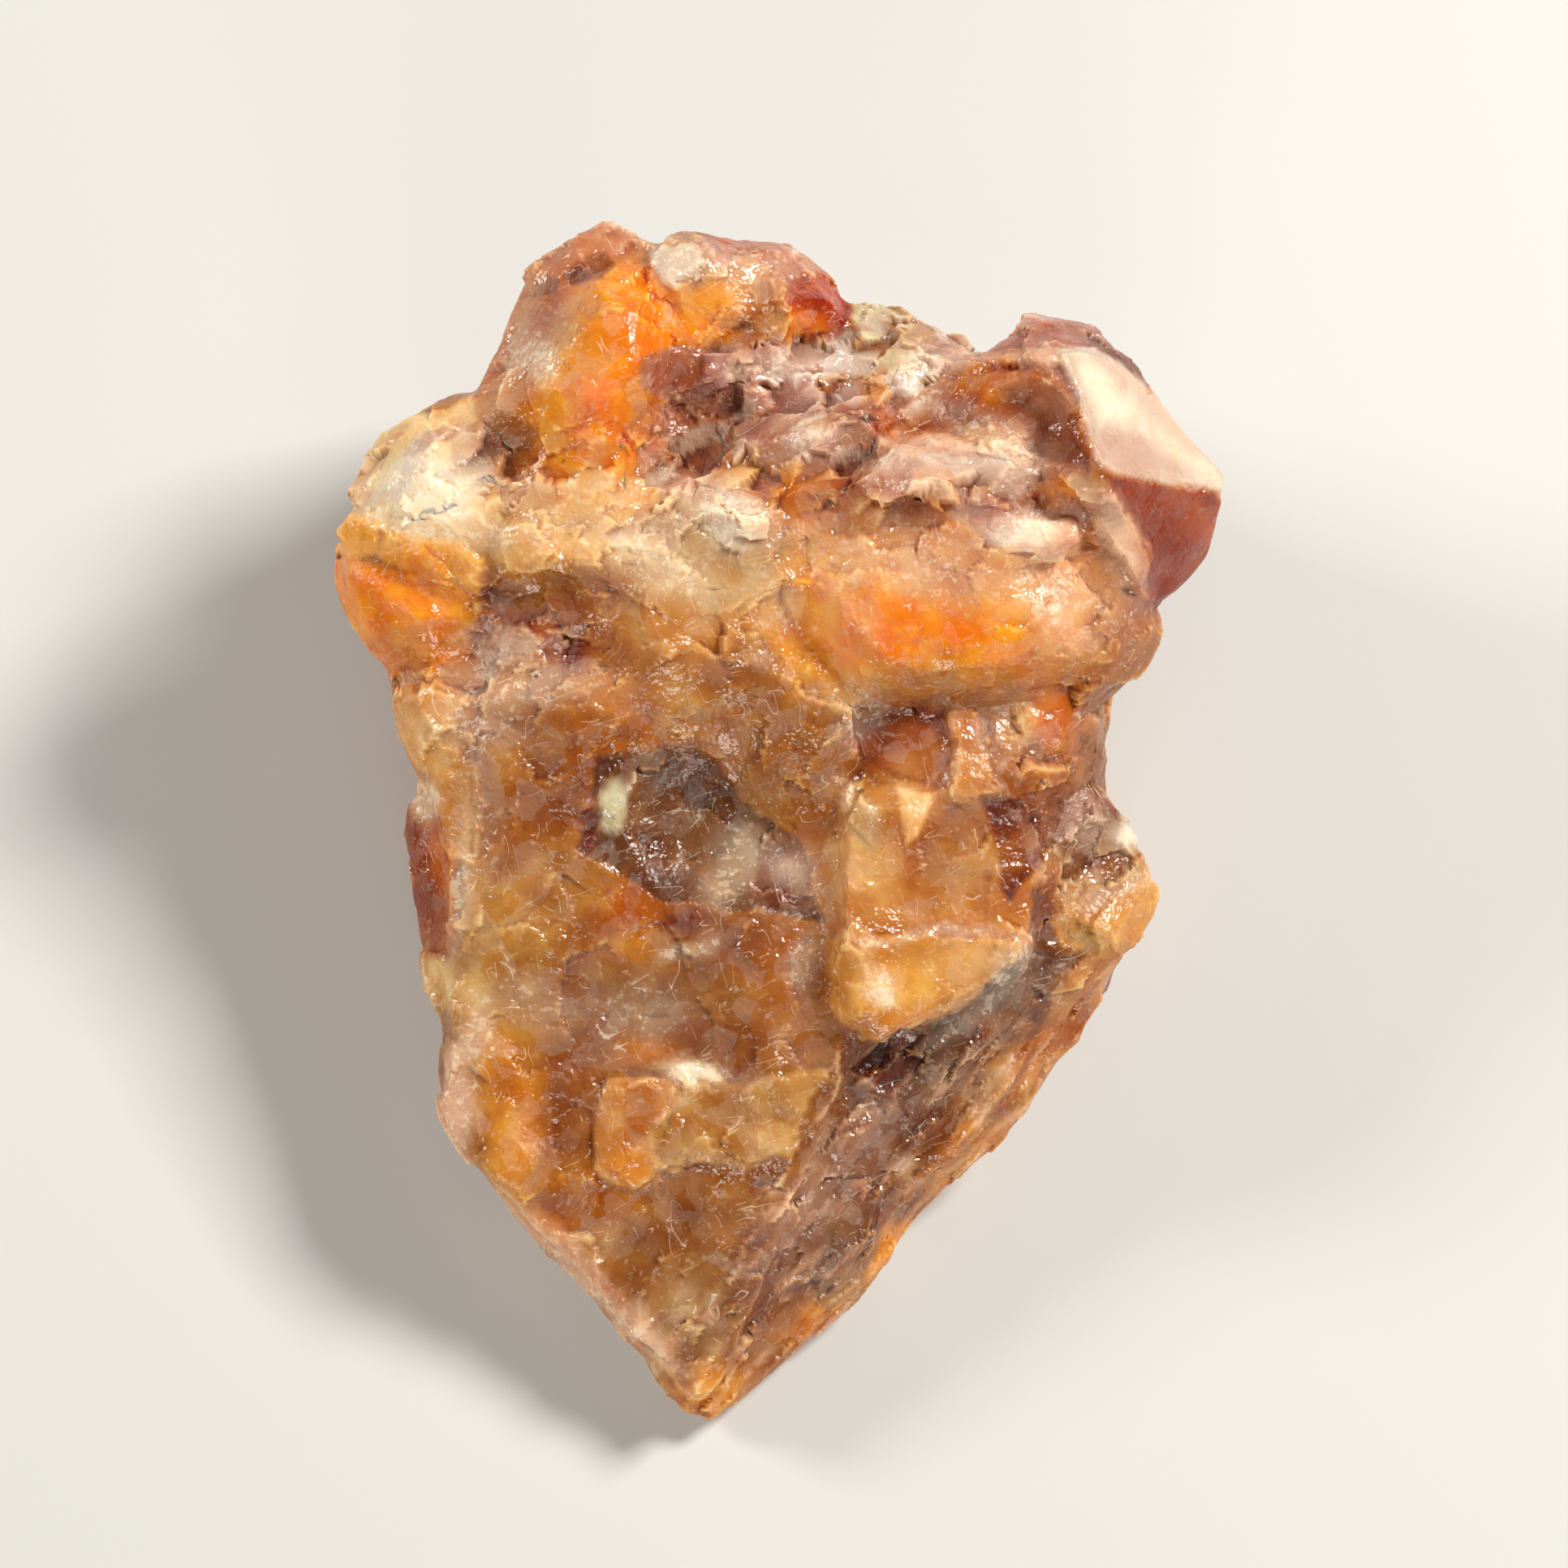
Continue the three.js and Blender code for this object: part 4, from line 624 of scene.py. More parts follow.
# Clouds of colour on the face: colour, place and half widths in mm, turn in degrees, strength, and the share
# that fades where it isn't the usual one.
USUAL_FADE = [0.5]
CLOUDS = [
    # the smooth face and the pointed end
    ("honey", -2, -6, 6.5, 9.5, 0, 1, 0.3), ("olive", -5.9, -3.6, 1.4, 2.2, 5, 0.8),
    ("olive", -1.9, -4.4, 1.6, 1.2, 0, 0.45, 0.6), ("russet", -1.6, -3.2, 2.4, 1.3, 0, 0.3, 0.6),
    ("flame", -2.6, -2.7, 1, 0.8, 0, 0.4, 0.6), ("brown", -1.2, -5.1, 2.6, 1, -12, 0.6, 0.6),
    ("russet", -0.3, -5.6, 1.4, 0.7, 0, 0.5, 0.6), ("flame", -2, -6.1, 0.8, 0.4, 0, 0.35, 0.6),
    ("tan", 1.6, -4.6, 1, 1.6, 0, 0.5, 0.6), ("russet", -3.9, -7.8, 0.8, 2.6, 0, 0.5, 0.6),
    ("golden", -5.5, -7.4, 0.8, 2.2, 8, 0.5), ("amber", -5.1, -8.4, 0.5, 1.2, 10, 0.2, 0.6),
    ("blush", -6.8, -7.2, 0.5, 2, -8, 0.75, 0.4), ("brown", -1.8, -10.4, 2.6, 1.6, 0, 0.35, 0.7),
    ("amber", -3.6, -9.8, 1.6, 1, 20, 0.25, 0.7), ("oat", -1.2, -12.8, 1.2, 1.8, -35, 0.85),
    ("blush", -4, -11, 3.8, 0.35, -42, 0.7), ("blush", -1.6, -13.7, 2.2, 0.3, -45, 0.6),
    ("golden", -0.6, -14.4, 0.9, 0.8, 0, 0.6, 0.6),
    # the facets on the left
    ("golden", -5.5, -1, 1, 1.6, 0, 0.25, 0.6), ("flame", -3.4, 1.5, 0.7, 0.8, 0, 0.35, 0.6),
    ("russet", -4.2, 0.8, 1.5, 1.5, 0, 0.30, 0.6), ("cream", -7.6, 2.2, 1, 1.4, 0, 0.8, 0.3),
    ("ivory", -7.3, -4.2, 0.55, 0.8, 0, 0.7),
    # the pale band
    ("tan", -1, 4.4, 4.2, 2.4, -12, 0.7, 0.4), ("honey", 0.6, 2.6, 2.6, 1, -18, 0.7),
    ("orange", -3.2, 2.4, 1.4, 0.8, -20, 0.35, 0.6), ("brown", 1.6, 3.6, 1.6, 0.8, -20, 0.6),
    ("cream", -3.2, 7.2, 3.4, 1.4, 10, 0.85, 0.35), ("golden", -1.6, 7.6, 1.2, 0.4, 0, 0.6),
    ("oat", 0.2, 6.4, 2.4, 1.6, -20, 0.75, 0.4), ("mauve", 0, 7.8, 1.3, 0.7, -25, 0.45),
    ("golden", -4.6, 6, 1.4, 0.8, 0, 0.5), ("honey", -3.8, 5.4, 1.2, 0.8, -15, 0.6),
    ("cream", -0.2, 4.8, 1.9, 1.2, -10, 0.5), ("white", 0.2, 7.2, 1, 0.5, -15, 0.8),
    ("white", -1.6, 6, 1.2, 0.5, -40, 0.4, 0.6), ("cognac", -4.6, 4.4, 1.7, 0.6, -5, 0.9, 0.4),
    ("mauve", -4.6, 4.3, 1.2, 0.5, -20, 0.2), ("deep_red", -4, 4.2, 0.5, 0.4, 0, 0.7),
    ("deep_red", -5.9, 4.4, 0.4, 0.8, 15, 0.6), ("ivory", -4.8, 3.2, 1.6, 0.5, 5, 0.3),
    ("silver", -5.9, 3.9, 0.5, 0.3, 20, 0.6),
    # the left shoulder
    ("cream", -7.6, 8.3, 2.4, 1.7, 0, 0.9, 0.2), ("tan", -8, 3, 1.6, 0.9, 0, 0.6),
    ("mauve", -6.4, 8.7, 0.5, 0.9, 15, 0.7, 0.4),
    # the left crystal
    ("orange", -3.8, 11.2, 2.9, 3.2, 0, 0.95, 0.2), ("rose", -5.1, 11.8, 0.9, 2.4, -25, 0.7, 0.4),
    ("rose", -3.4, 14.1, 1.6, 0.7, 0, 0.8, 0.4), ("tan", -3.6, 11.6, 1.1, 0.8, 40, 0.6, 0.6),
    ("amber", -2.2, 12, 1.1, 1.2, 0, 0.7), ("amber", -2.6, 9.9, 1.4, 0.9, 0, 0.8),
    ("flame", -2.4, 9.7, 0.8, 0.5, 0, 0.5), ("brown", -6, 9, 0.9, 0.7, 0, 0.7),
    # the top lumps
    ("rose", 1.2, 13.6, 1.8, 0.8, -10, 0.85, 0.3), ("blush", 0.2, 13, 0.9, 0.8, 0, 0.6, 0.4),
    ("tan", 0.4, 12.4, 1, 1, 0, 0.7, 0.4), ("golden", -0.5, 12.6, 0.8, 0.4, 0, 0.8, 0.4),
    ("amber", -0.7, 11.8, 0.9, 0.4, 0, 0.9, 0.35), ("celadon", 3.6, 11.8, 0.7, 1, 10, 0.85, 0.3),
    ("oat", 4.4, 11.6, 0.7, 0.9, 0, 0.7, 0.4), ("white", 4.6, 10.7, 0.5, 0.8, 15, 0.8),
    ("mauve", 5.5, 11.3, 0.9, 0.7, 0, 0.7, 0.3),
    # the splintered hollow
    ("mauve", 1, 10.2, 3, 1.4, 0, 0.8, 0.3), ("blush", 0.7, 11.1, 0.8, 0.5, 0, 0.6, 0.4),
    ("silver", 2.4, 10.9, 1, 0.7, -20, 0.5), ("cream", 0.9, 8.5, 1, 0.6, 0, 0.6, 0.4),
    ("orange", 1.8, 7.6, 1.4, 0.8, 0, 0.6),
    # the large crystal
    ("mauve", 8.4, 11.6, 3.4, 1.2, -30, 0.9, 0.2), ("rose", 6.6, 11.6, 1.4, 0.6, 12, 0.7, 0.4),
    ("dark_brown", 10, 10.8, 1.6, 0.5, -42, 0.5),
    # the ledges
    ("rose", 5, 8.4, 2.8, 1.2, 6, 0.7, 0.3), ("tan", 6.8, 9, 1.2, 0.5, -25, 0.7),
    ("rose", 6.4, 7, 2.6, 0.9, -8, 0.7, 0.4), ("brown", 6.4, 8, 0.8, 0.25, 0, 0.6),
    # the amber lump
    ("orange", 5.2, 5, 4, 2.6, -6, 0.9, 0.2), ("rose", 5.2, 6.3, 3.4, 0.9, -8, 0.45, 0.6),
    ("tan", 2.6, 6.2, 1, 0.9, 0, 0.3), ("amber", 4.6, 4.2, 2.8, 1.3, -10, 0.85, 0.4),
    # The golden clouds at (5, 2.8) and (3.2, 3.2) brighten the lump's lower part and lower rim: partly its own
    # golden, partly painted light where it glows lit from behind.
    ("flame", 4.7, 3.6, 1.4, 0.9, -15, 0.25, 0.6), ("golden", 5, 2.8, 3.4, 0.7, -8, 0.7),
    ("golden", 3.2, 3.2, 2.6, 0.3, -28, 0.8), ("blush", 4.6, 5.7, 2.6, 0.5, -6, 0.35, 0.6),
    ("cognac", 9, 4.6, 1.5, 1.6, 0, 0.35), ("blush", 8.8, 5, 1.2, 1.2, 0, 0.3, 0.6),
    # under it, on the right
    ("honey", 5.4, 0.8, 4, 2.6, 0, 0.8, 0.3), ("cognac", 7.8, 1.6, 1.4, 1.5, 0, 0.5, 0.4),
    ("amber", 8, 2.4, 0.6, 0.6, 0, 0.6), ("ivory", 7.1, 2.2, 0.5, 0.5, 0, 0.6, 0.4),
    ("brown", 9.2, 1.4, 0.7, 1, 0, 0.7, 0.3),
    # the tan block
    ("tan", 5, -2, 2.8, 2.9, 0, 0.9, 0.2), ("cream", 3.4, -1.4, 0.9, 1, 0, 0.5),
    ("honey", 5.6, -1, 1, 1.2, 0, 0.6),
    # the wing
    ("plum", 9, -0.7, 1.4, 1.4, 0, 0.7, 0.3), ("silver", 9.2, -0.2, 0.6, 1, 40, 0.5),
    ("rust", 7.7, -2.5, 0.4, 0.7, 0, 0.95, 0.3), ("straw", 9.6, -2.4, 1.6, 1.3, 10, 0.7, 0.3),
    ("white", 9.9, -0.6, 0.25, 0.3, 0, 0.9, 0.3),
    # the dark flank and its rib
    ("brown", 7, -4.4, 2.4, 0.9, 30, 0.8, 0.4), ("plum", 5.4, -6.2, 3.6, 1.6, 35, 0.85, 0.4),
    # The dark brown at (4.4, -6.2), under the tan block, is painted shadow there.
    ("dark_brown", 4.4, -6.2, 1.6, 0.8, 35, 0.7), ("brown", 3, -9.6, 3.6, 1.6, 48, 0.8, 0.4),
    ("mauve", 2.2, -9.4, 3, 0.9, 48, 0.4), ("tan", 8.4, -5, 3, 0.7, 46, 0.85, 0.35),
    ("golden", 5.8, -8.6, 1.3, 0.5, 46, 0.4), ("golden", 4, -11, 0.4, 0.9, -25, 0.8, 0.4),
    ("orange", 2, -12.6, 0.8, 0.35, 48, 0.5),
]

# Small clouds that lie on the plates and facets.
FLECKS = [
    ("white", -7.4, 7.9, 1.2, 0.9, 0, 0.75), ("amber", -8, 5, 1.8, 1, -15, 0.6),
    ("blush", -6.4, 4.3, 0.4, 0.3, 0, 0.6, 0.4), ("rust", -6.2, 4.5, 0.4, 0.9, 0, 0.5),
    ("rose", -8.6, 3.8, 0.9, 0.6, -40, 0.4), ("orange", 6.5, 10.6, 0.9, 0.5, 0, 0.5),
    ("mauve", 7.5, 9.5, 0.8, 1.2, -15, 0.5), ("rust", 8.5, 8.7, 0.35, 0.8, 0, 0.5),
    ("amber", 1.9, 11.9, 0.6, 0.4, 0, 0.7), ("orange", 11.4, 7.2, 0.9, 0.4, -50, 0.25, 0.6),
    # The white and blush streaks at (9.2, 10.3), (10.8, 9) and (10.4, 10) are painted reflection on the large
    # crystal's face.
    ("deep_red", 10.6, 5.8, 0.6, 1.2, 0, 0.4, 0.6), ("white", 9.2, 10.3, 0.35, 1, 30, 0.8, 0.4),
    ("white", 10.8, 9, 1.9, 0.2, -42, 0.6, 0.6), ("rose", 9.8, 8.8, 0.9, 0.5, -10, 0.3, 0.7),
    ("blush", 10.4, 10, 1.4, 0.15, -42, 0.6, 0.6), ("white", 7.2, 6.8, 0.7, 0.3, -5, 0.8, 0.4),
    ("white", 4.7, 8, 0.9, 0.15, 4, 0.6, 0.4), ("mauve", 6.2, 7.3, 0.5, 0.3, -20, 0.5),
    ("brown", 9.3, 7.2, 0.5, 0.25, -35, 0.5), ("celadon", -2.85, 0.5, 0.3, 0.35, -30, 0.95, 0.4),
    ("celadon", -2.95, -0.05, 0.3, 0.45, 10, 0.9, 0.4), ("celadon", 0.1, -1.2, 0.45, 1, -25, 0.35, 0.6),
    ("oat", -0.7, -0.9, 1.2, 0.8, -35, 0.35, 0.6), ("mauve", 1.6, -1.6, 1, 0.8, 0, 0.45),
    ("white", 1.7, -1.3, 0.35, 0.25, -40, 0.4, 0.6), ("deep_red", -3.6, -0.45, 0.25, 0.45, 0, 0.95, 0.3),
    ("rust", -0.9, -2.6, 0.7, 0.3, 10, 0.7), ("orange", -7.2, -1.2, 0.3, 0.9, 10, 0.6),
    ("white", -7.6, 0.2, 0.3, 0.5, 0, 0.5), ("rose", 4.4, 1.9, 0.6, 0.3, 10, 0.3),
    ("golden", 4, -4.6, 1.2, 0.7, 0, 0.5), ("white", 3.9, -4.5, 0.25, 0.25, 0, 0.8, 0.4),
    ("ivory", 5.8, -3.8, 0.8, 0.5, 20, 0.5), ("ivory", 9.9, -2.4, 0.6, 0.5, 20, 0.2),
    ("rust", 7.4, -0.4, 0.3, 0.8, 15, 0.5), ("golden", -2.5, -8.6, 0.6, 0.5, 0, 0.5),
    ("white", -1, -6.5, 0.7, 0.25, 0, 0.75, 0.4), ("ivory", 1.2, -8, 0.5, 0.4, 20, 0.5),
]


# Frosted, sugary patches, partly painted glints: place and half widths on the face in mm, turn in degrees,
# strength.
FROSTED_AND_GLINT_PATCHES = [
    (-4.8, 11.2, 0.7, 0.6, 0, 0.9), (-4, 12.2, 0.3, 1.3, -30, 0.3), (-5.3, 12, 0.8, 2, -25, 0.2),
    (-7.5, 8, 1.4, 1, 0, 0.8), (-7, 7, 2.2, 0.35, -10, 0.6), (-3, 7.2, 3, 0.8, 10, 0.4),
    (0.2, 7.2, 1.1, 0.7, -15, 0.9), (-1.6, 5.9, 1.6, 0.7, -30, 0.6), (1.3, 5.2, 0.5, 0.9, 20, 0.5),
    (-4.6, 3.2, 1.7, 0.6, 0, 0.5), (-6.2, 2.2, 1.1, 0.8, 0, 0.5), (2.8, 3, 0.7, 0.4, 0, 0.5),
    (4.7, 10.9, 0.6, 0.8, 15, 0.8), (5.6, 11.2, 0.9, 0.4, 20, 0.3), (2, 9.2, 0.8, 0.6, 30, 0.6),
    (0.7, 11, 0.8, 0.3, 0, 0.6), (2.6, 11, 1, 0.4, -20, 0.3), (-1.2, 13.6, 0.8, 0.6, 0, 0.7),
    (0.6, 13.2, 1.2, 0.6, 0, 0.3), (7.2, 6.9, 0.8, 0.4, -5, 0.9), (4.8, 8.6, 1.6, 0.4, 5, 0.6),
    (6.6, 9.2, 1.4, 0.5, -25, 0.6), (7.2, 8.6, 0.8, 0.4, -40, 0.5), (9.7, 6.4, 0.5, 1.2, 20, 0.6),
    (3.6, 6.4, 2.2, 0.8, -10, 0.3), (8.8, 4.8, 1.2, 1, 0, 0.35), (5.8, 5.6, 2.2, 0.7, -5, 0.4),
    (7.8, 5.6, 0.8, 0.8, 0, 0.5), (3, 4.6, 0.7, 1, 20, 0.35), (0.1, -1.2, 0.6, 1.1, -25, 0.5),
    (1.6, -1.4, 0.8, 0.5, -40, 0.5), (1.9, -3.8, 0.3, 0.8, -10, 0.6), (-0.9, -3.4, 0.8, 0.25, 20, 0.7),
    (3.2, 2.4, 0.5, 0.8, -40, 0.6), (6.9, 2, 1.2, 0.8, 0, 0.3), (4.8, -3.1, 1.8, 0.15, 3, 0.7),
    (3.8, -4.4, 0.5, 0.4, 0, 0.8), (7, -3.6, 0.3, 1, -30, 0.6), (9.6, -2, 1.4, 0.25, 20, 0.5),
    (9.8, -0.6, 0.4, 0.4, 0, 0.9), (5.6, -5, 2.2, 0.4, 25, 0.3), (3.4, -8, 2.6, 0.6, 48, 0.15),
    (1.6, -10.2, 2.2, 0.6, 48, 0.15), (2.8, -11.2, 1, 1.2, 0, 0.15), (-0.9, -6.5, 0.8, 0.3, 0, 0.8),
    (-4.2, -11.2, 3.4, 0.3, -42, 0.6), (-6.6, -6.6, 0.5, 2, -8, 0.6), (-5.2, -4.6, 1, 0.6, 0, 0.4),
    (-2.4, -5, 1.6, 0.8, 0, 0.3), (-6.2, -0.4, 0.5, 1.6, 0, 0.3), (-7.5, 0.2, 0.3, 0.5, 0, 0.8),
    (-6.7, -2, 0.25, 1.2, -8, 0.7), (6.8, 12, 1.4, 0.3, 25, 0.4), (10.9, 9.6, 1.6, 0.3, -42, 0.3),
]


def linear(colour):
    """A colour as seen, in the shader's own linear scale."""
    c = np.array(colour)
    return np.where(c <= 0.04045, c / 12.92, ((c + 0.055) / 1.055) ** 2.4)


def tinted(colour, name, share):
    """The colours drawn towards a named one."""
    return colour + share[:, None] * (np.array(PALETTE[name]) - colour)


def side_colour(p):
    """The colour away from the face: honey garnet clouded with tan and russet."""
    base = np.tile(np.array(PALETTE["honey"]), (len(p), 1))
    base = tinted(base, "tan", soft_step(layered_noise(p, 4.5, 101), 0.0, 0.5))
    return tinted(base, "russet", 0.8 * soft_step(layered_noise(p, 2.2, 111), 0.05, 0.5))


def add_clouds(colour, p, clouds, front):
    for name, x, y, rx, ry, turn, strength, *fade in clouds:
        share = patch(p, x, y, rx, ry, turn, *(fade or USUAL_FADE))
        colour = tinted(colour, name, strength * front * share)
    return colour


def add_plates(colour, p, front):
    """Tints each plate inside its outline, with a pale rim where it stands proud, a painted highlight on its
    raised edge.
    """
    for name, strength, height, flatness, depth in plates_at(p):
        blur = 0.03 if flatness == 1 else 0.08
        colour = tinted(colour, name, strength * front * soft_step(depth, -blur, blur))
        # A pale ivory rim where a plate stands proud: a painted highlight on its raised edge.
        rim = soft_step(depth, -0.06, 0.03) * (1 - soft_step(depth, 0.06, 0.22))
        colour = tinted(colour, "ivory", 0.9 * max(height, 0) * front * rim)
    return colour


def frost_and_glint_share(p, front):
    """How frosted each point is, from 0 to 1; the frosted white is partly painted glints."""
    clear = np.ones(len(p))
    for x, y, rx, ry, turn, strength in FROSTED_AND_GLINT_PATCHES:
        clear *= 1 - strength * front * patch(p, x, y, rx, ry, turn, 0.6)
    return 1 - clear


def shard_colours(colour, p, front):
    """Small crystals that differ from each other where the surface is splintered: mauve and rust ones, and
    silvery ones that are partly pale shards, partly painted glints.
    """
    shade = shards(turned(p, SPLINTER_ANGLE) * np.array(SPLINTER_STRETCH), SPLINTER_SIZE, SPLINTER_SALT)[1]
    share = front * areas(p, SPLINTERED_AREAS)
    # Silvery shards: partly pale shards, partly painted glints.
    colour = tinted(colour, "silver", 0.8 * share * (shade > 0.8))
    colour = tinted(colour, "mauve", 0.55 * share * (shade < 0.3))
    return tinted(colour, "cognac", 0.5 * share * (shade > 0.45) * (shade < 0.57))


def fibre_streaks(colour, p):
    """Pale fibres on the dark flank."""
    bent = p + 0.5 * bend(p, 2.2, 191)
    along = turned(bent, FIBRE_ANGLE) / np.array([3.6, 1.0, 1.0])
    strands = layered_noise(along, 0.34, 165, 2, 0.6)
    colour = tinted(colour, "blush", 0.6 * fibrous_areas(p) * soft_step(strands, 0.25, 0.55))
    return tinted(colour, "rust", 0.30 * fibrous_areas(p) * soft_step(-strands, 0.05, 0.5))


def paint(piece, name, colour):
    """Keeps a colour for each point on the mesh, under a name."""
    rgba = np.ones((len(colour), 4), np.float32)
    rgba[:, :3] = colour
    piece.data.color_attributes.new(name, "FLOAT_COLOR", "POINT").data.foreach_set("color", rgba.ravel())


def colour_surface(piece):
    """Paints the clouds and plates onto the mesh, paler on crests as a painted highlight and darker in cracks
    and hollows as painted shade.
    """
    p = on_face(points_of(piece))
    fine = bend(p, 0.3, 141, axes=2, layers=1)
    wander = bend(p, 1.3, 121, axes=2)
    front = front_share(p, "colour")
    colour = add_clouds(side_colour(p), p + 0.5 * wander + 0.12 * fine, CLOUDS, front)
    colour = add_plates(colour, p, front)
    colour = add_clouds(colour, p + 0.3 * wander + 0.12 * fine, FLECKS, front)
    colour = shard_colours(colour, p + 0.2 * wander, front)
    # Frost: the stone's frosted white, partly painted glints.
    frost_and_glints = frost_and_glint_share(p + 0.3 * wander, front)
    colour = fibre_streaks(colour, p + 0.15 * wander)
    edges = prominence(piece, 4, 0.05 * MM)
    broad = prominence(piece, 30, 0.35 * MM)
    mottle = layered_noise(p, 1.1, 155, 4, 0.7)
    rough = 1 - 0.8 * patch(p, *GLOSSY_AREA)
    # Ivory on convex edges: a painted highlight.
    colour = tinted(colour, "ivory", 0.22 * rough * soft_step(edges, 0.25, 0.9))
    # Rust in broad hollows: a painted shade.
    colour = tinted(colour, "rust", 0.30 * soft_step(-broad, 0.15, 0.9))
    # Crests paler in tone, a painted highlight; cracks darker in tone, a painted shade.
    lit_crests, cracks = soft_step(edges, 0.1, 0.9), soft_step(-edges, 0.1, 0.9)
    tone = DEPTH_OF_TONE - rough * (MOTTLING * mottle + EDGE_HIGHLIGHT * lit_crests - CRACK_SHADE * cracks)
    colour = np.clip(colour, 0, 1) ** tone[:, None]
    paint(piece, "stone_colour", linear(np.clip(colour, 0, 1)))
    # The wear layer keeps the frost, partly painted glints, and how much the scratches show.
    paint(piece, "wear", np.stack([frost_and_glints, 0.15 + 0.85 * rough, np.zeros(len(p))], axis=1))


# Materials

HALF = (0.5, 0.5, 0.5)
MIX_SHARE, MIX_FIRST, MIX_OTHER, MIX_RESULT = 0, 6, 7, 2  # places of a Mix node's colour sockets
SCRATCH_SIZE = (3.0, 0.38, 0.38)  # mm
SCRATCH_LAYS = ((25, "Red"), (110, "Green"))  # degrees, and which part of the noise opens them


def feed(tree, socket, value):
    """Links the value to the socket where it is a socket too, or else sets it."""
    if isinstance(value, bpy.types.NodeSocket):
        tree.links.new(value, socket)
    else:
        socket.default_value = value


def add_node(tree, kind, sockets, **settings):
    """A node of a kind, with its settings and its input sockets, which go by name or place."""
    node = tree.nodes.new(kind)
    for name, value in settings.items():
        setattr(node, name, value)
    for name, value in sockets.items():
        feed(tree, node.inputs[name], value)
    return node


def node_group(name, inputs, outputs):
    """An empty shader group with named number sockets, and its first and last nodes."""
    group = bpy.data.node_groups.new(name, "ShaderNodeTree")
    for socket, value in inputs.items():
        made = group.interface.new_socket(socket, in_out="INPUT", socket_type="NodeSocketFloat")
        made.default_value = value
    for socket in outputs:
        group.interface.new_socket(socket, in_out="OUTPUT", socket_type="NodeSocketFloat")
    return group, group.nodes.new("NodeGroupInput"), group.nodes.new("NodeGroupOutput")


def placed(tree, group, **values):
    """A node group set in a material, with its own values."""
    return add_node(tree, "ShaderNodeGroup", values, node_tree=group)


def maths(tree, operation, *values, clamp=False):
    """The result of a Math node. Each value is a socket or a number."""
    sockets = dict(enumerate(values))
    return add_node(tree, "ShaderNodeMath", sockets, operation=operation, use_clamp=clamp).outputs["Value"]


def vectors(tree, operation, *values):
    """A Vector Math node. Each value is a socket or three numbers."""
    return add_node(tree, "ShaderNodeVectorMath", dict(enumerate(values)), operation=operation)


def ramp(tree, value, low, high, to_low=0.0, to_high=1.0):
    """The value taken smoothly from one range to another."""
    sockets = {"Value": value, "From Min": low, "From Max": high, "To Min": to_low, "To Max": to_high}
    return add_node(tree, "ShaderNodeMapRange", sockets, interpolation_type="SMOOTHSTEP").outputs["Result"]


def millimetres(tree):
    """Places on the piece, in mm."""
    place = tree.nodes.new("ShaderNodeTexCoord").outputs["Object"]
    sockets = {0: place, "Scale": 1 / MM}
    return add_node(tree, "ShaderNodeVectorMath", sockets, operation="SCALE").outputs["Vector"]


def noise(tree, place, scale, detail=2.0, roughness=0.5):
    sockets = {"Vector": place, "Scale": scale, "Detail": detail, "Roughness": roughness}
    return add_node(tree, "ShaderNodeTexNoise", sockets).outputs


def parts_of(tree, colour):
    """A colour's red, green and blue, each as a number."""
    return add_node(tree, "ShaderNodeSeparateColor", {"Color": colour}).outputs


def hairlines_group():
    """Short scratches and cracks, set two ways: Scratches is 1 on a line."""
    group, given, made = node_group("hairline_cracks", {"Density": 0.5, "Width": 0.012}, ["Scratches"])
    place = millimetres(group)
    gates = parts_of(group, noise(group, place, 1.5, 1.0)["Color"])
    least = maths(group, "SUBTRACT", 0.75, maths(group, "MULTIPLY", given.outputs["Density"], 0.3))
    lines = []
    for angle, channel in SCRATCH_LAYS:
        rotation = (math.radians(angle / 2), 0, math.radians(angle))
        sockets = {"Vector": place, "Rotation": rotation, "Scale": SCRATCH_SIZE}
        lay = add_node(group, "ShaderNodeMapping", sockets, vector_type="TEXTURE").outputs["Vector"]
        away = maths(group, "ABSOLUTE", maths(group, "SUBTRACT", noise(group, lay, 1.0, 0.0)["Fac"], 0.5))
        line = maths(group, "SUBTRACT", 1.0, maths(group, "DIVIDE", away, given.outputs["Width"]), clamp=True)
        shown = maths(group, "GREATER_THAN", gates[channel], least)
        lines.append(maths(group, "MULTIPLY", line, shown))
    group.links.new(maths(group, "MAXIMUM", *lines), made.inputs["Scratches"])
    return group


def frost_and_glint_group():
    """Sugary flecks, partly painted glints: Flecks is 1 on a fleck. There are more of them where Amount is
    higher.
    """
    group, given, made = node_group("frost_and_glint_flecks", {"Amount": 0.5, "Scale": 2.5}, ["Flecks"])
    field = noise(group, millimetres(group), given.outputs["Scale"], 3.0, 0.65)["Fac"]
    reach = maths(group, "ADD", field, maths(group, "MULTIPLY", given.outputs["Amount"], 0.15))
    group.links.new(ramp(group, reach, 0.60, 0.66), made.inputs["Flecks"])
    return group


def grain_group():
    """Small flat grains: Grain is a random number for each, Relief tips each one its own way."""
    group, given, made = node_group("crystal_grain", {"Scale": 2.0}, ["Grain", "Relief"])
    place = millimetres(group)
    sway = noise(group, place, 1.4)["Color"]
    bent = vectors(group, "MULTIPLY_ADD", sway, HALF, place).outputs["Vector"]
    cells = add_node(group, "ShaderNodeTexVoronoi", {"Vector": bent, "Scale": given.outputs["Scale"]}).outputs
    away = vectors(group, "SUBTRACT", bent, cells["Position"]).outputs["Vector"]
    tilt = vectors(group, "SUBTRACT", cells["Color"], HALF).outputs["Vector"]
    lean = vectors(group, "DOT_PRODUCT", away, tilt).outputs["Value"]
    group.links.new(parts_of(group, cells["Color"])["Red"], made.inputs["Grain"])
    group.links.new(lean, made.inputs["Relief"])
    return group


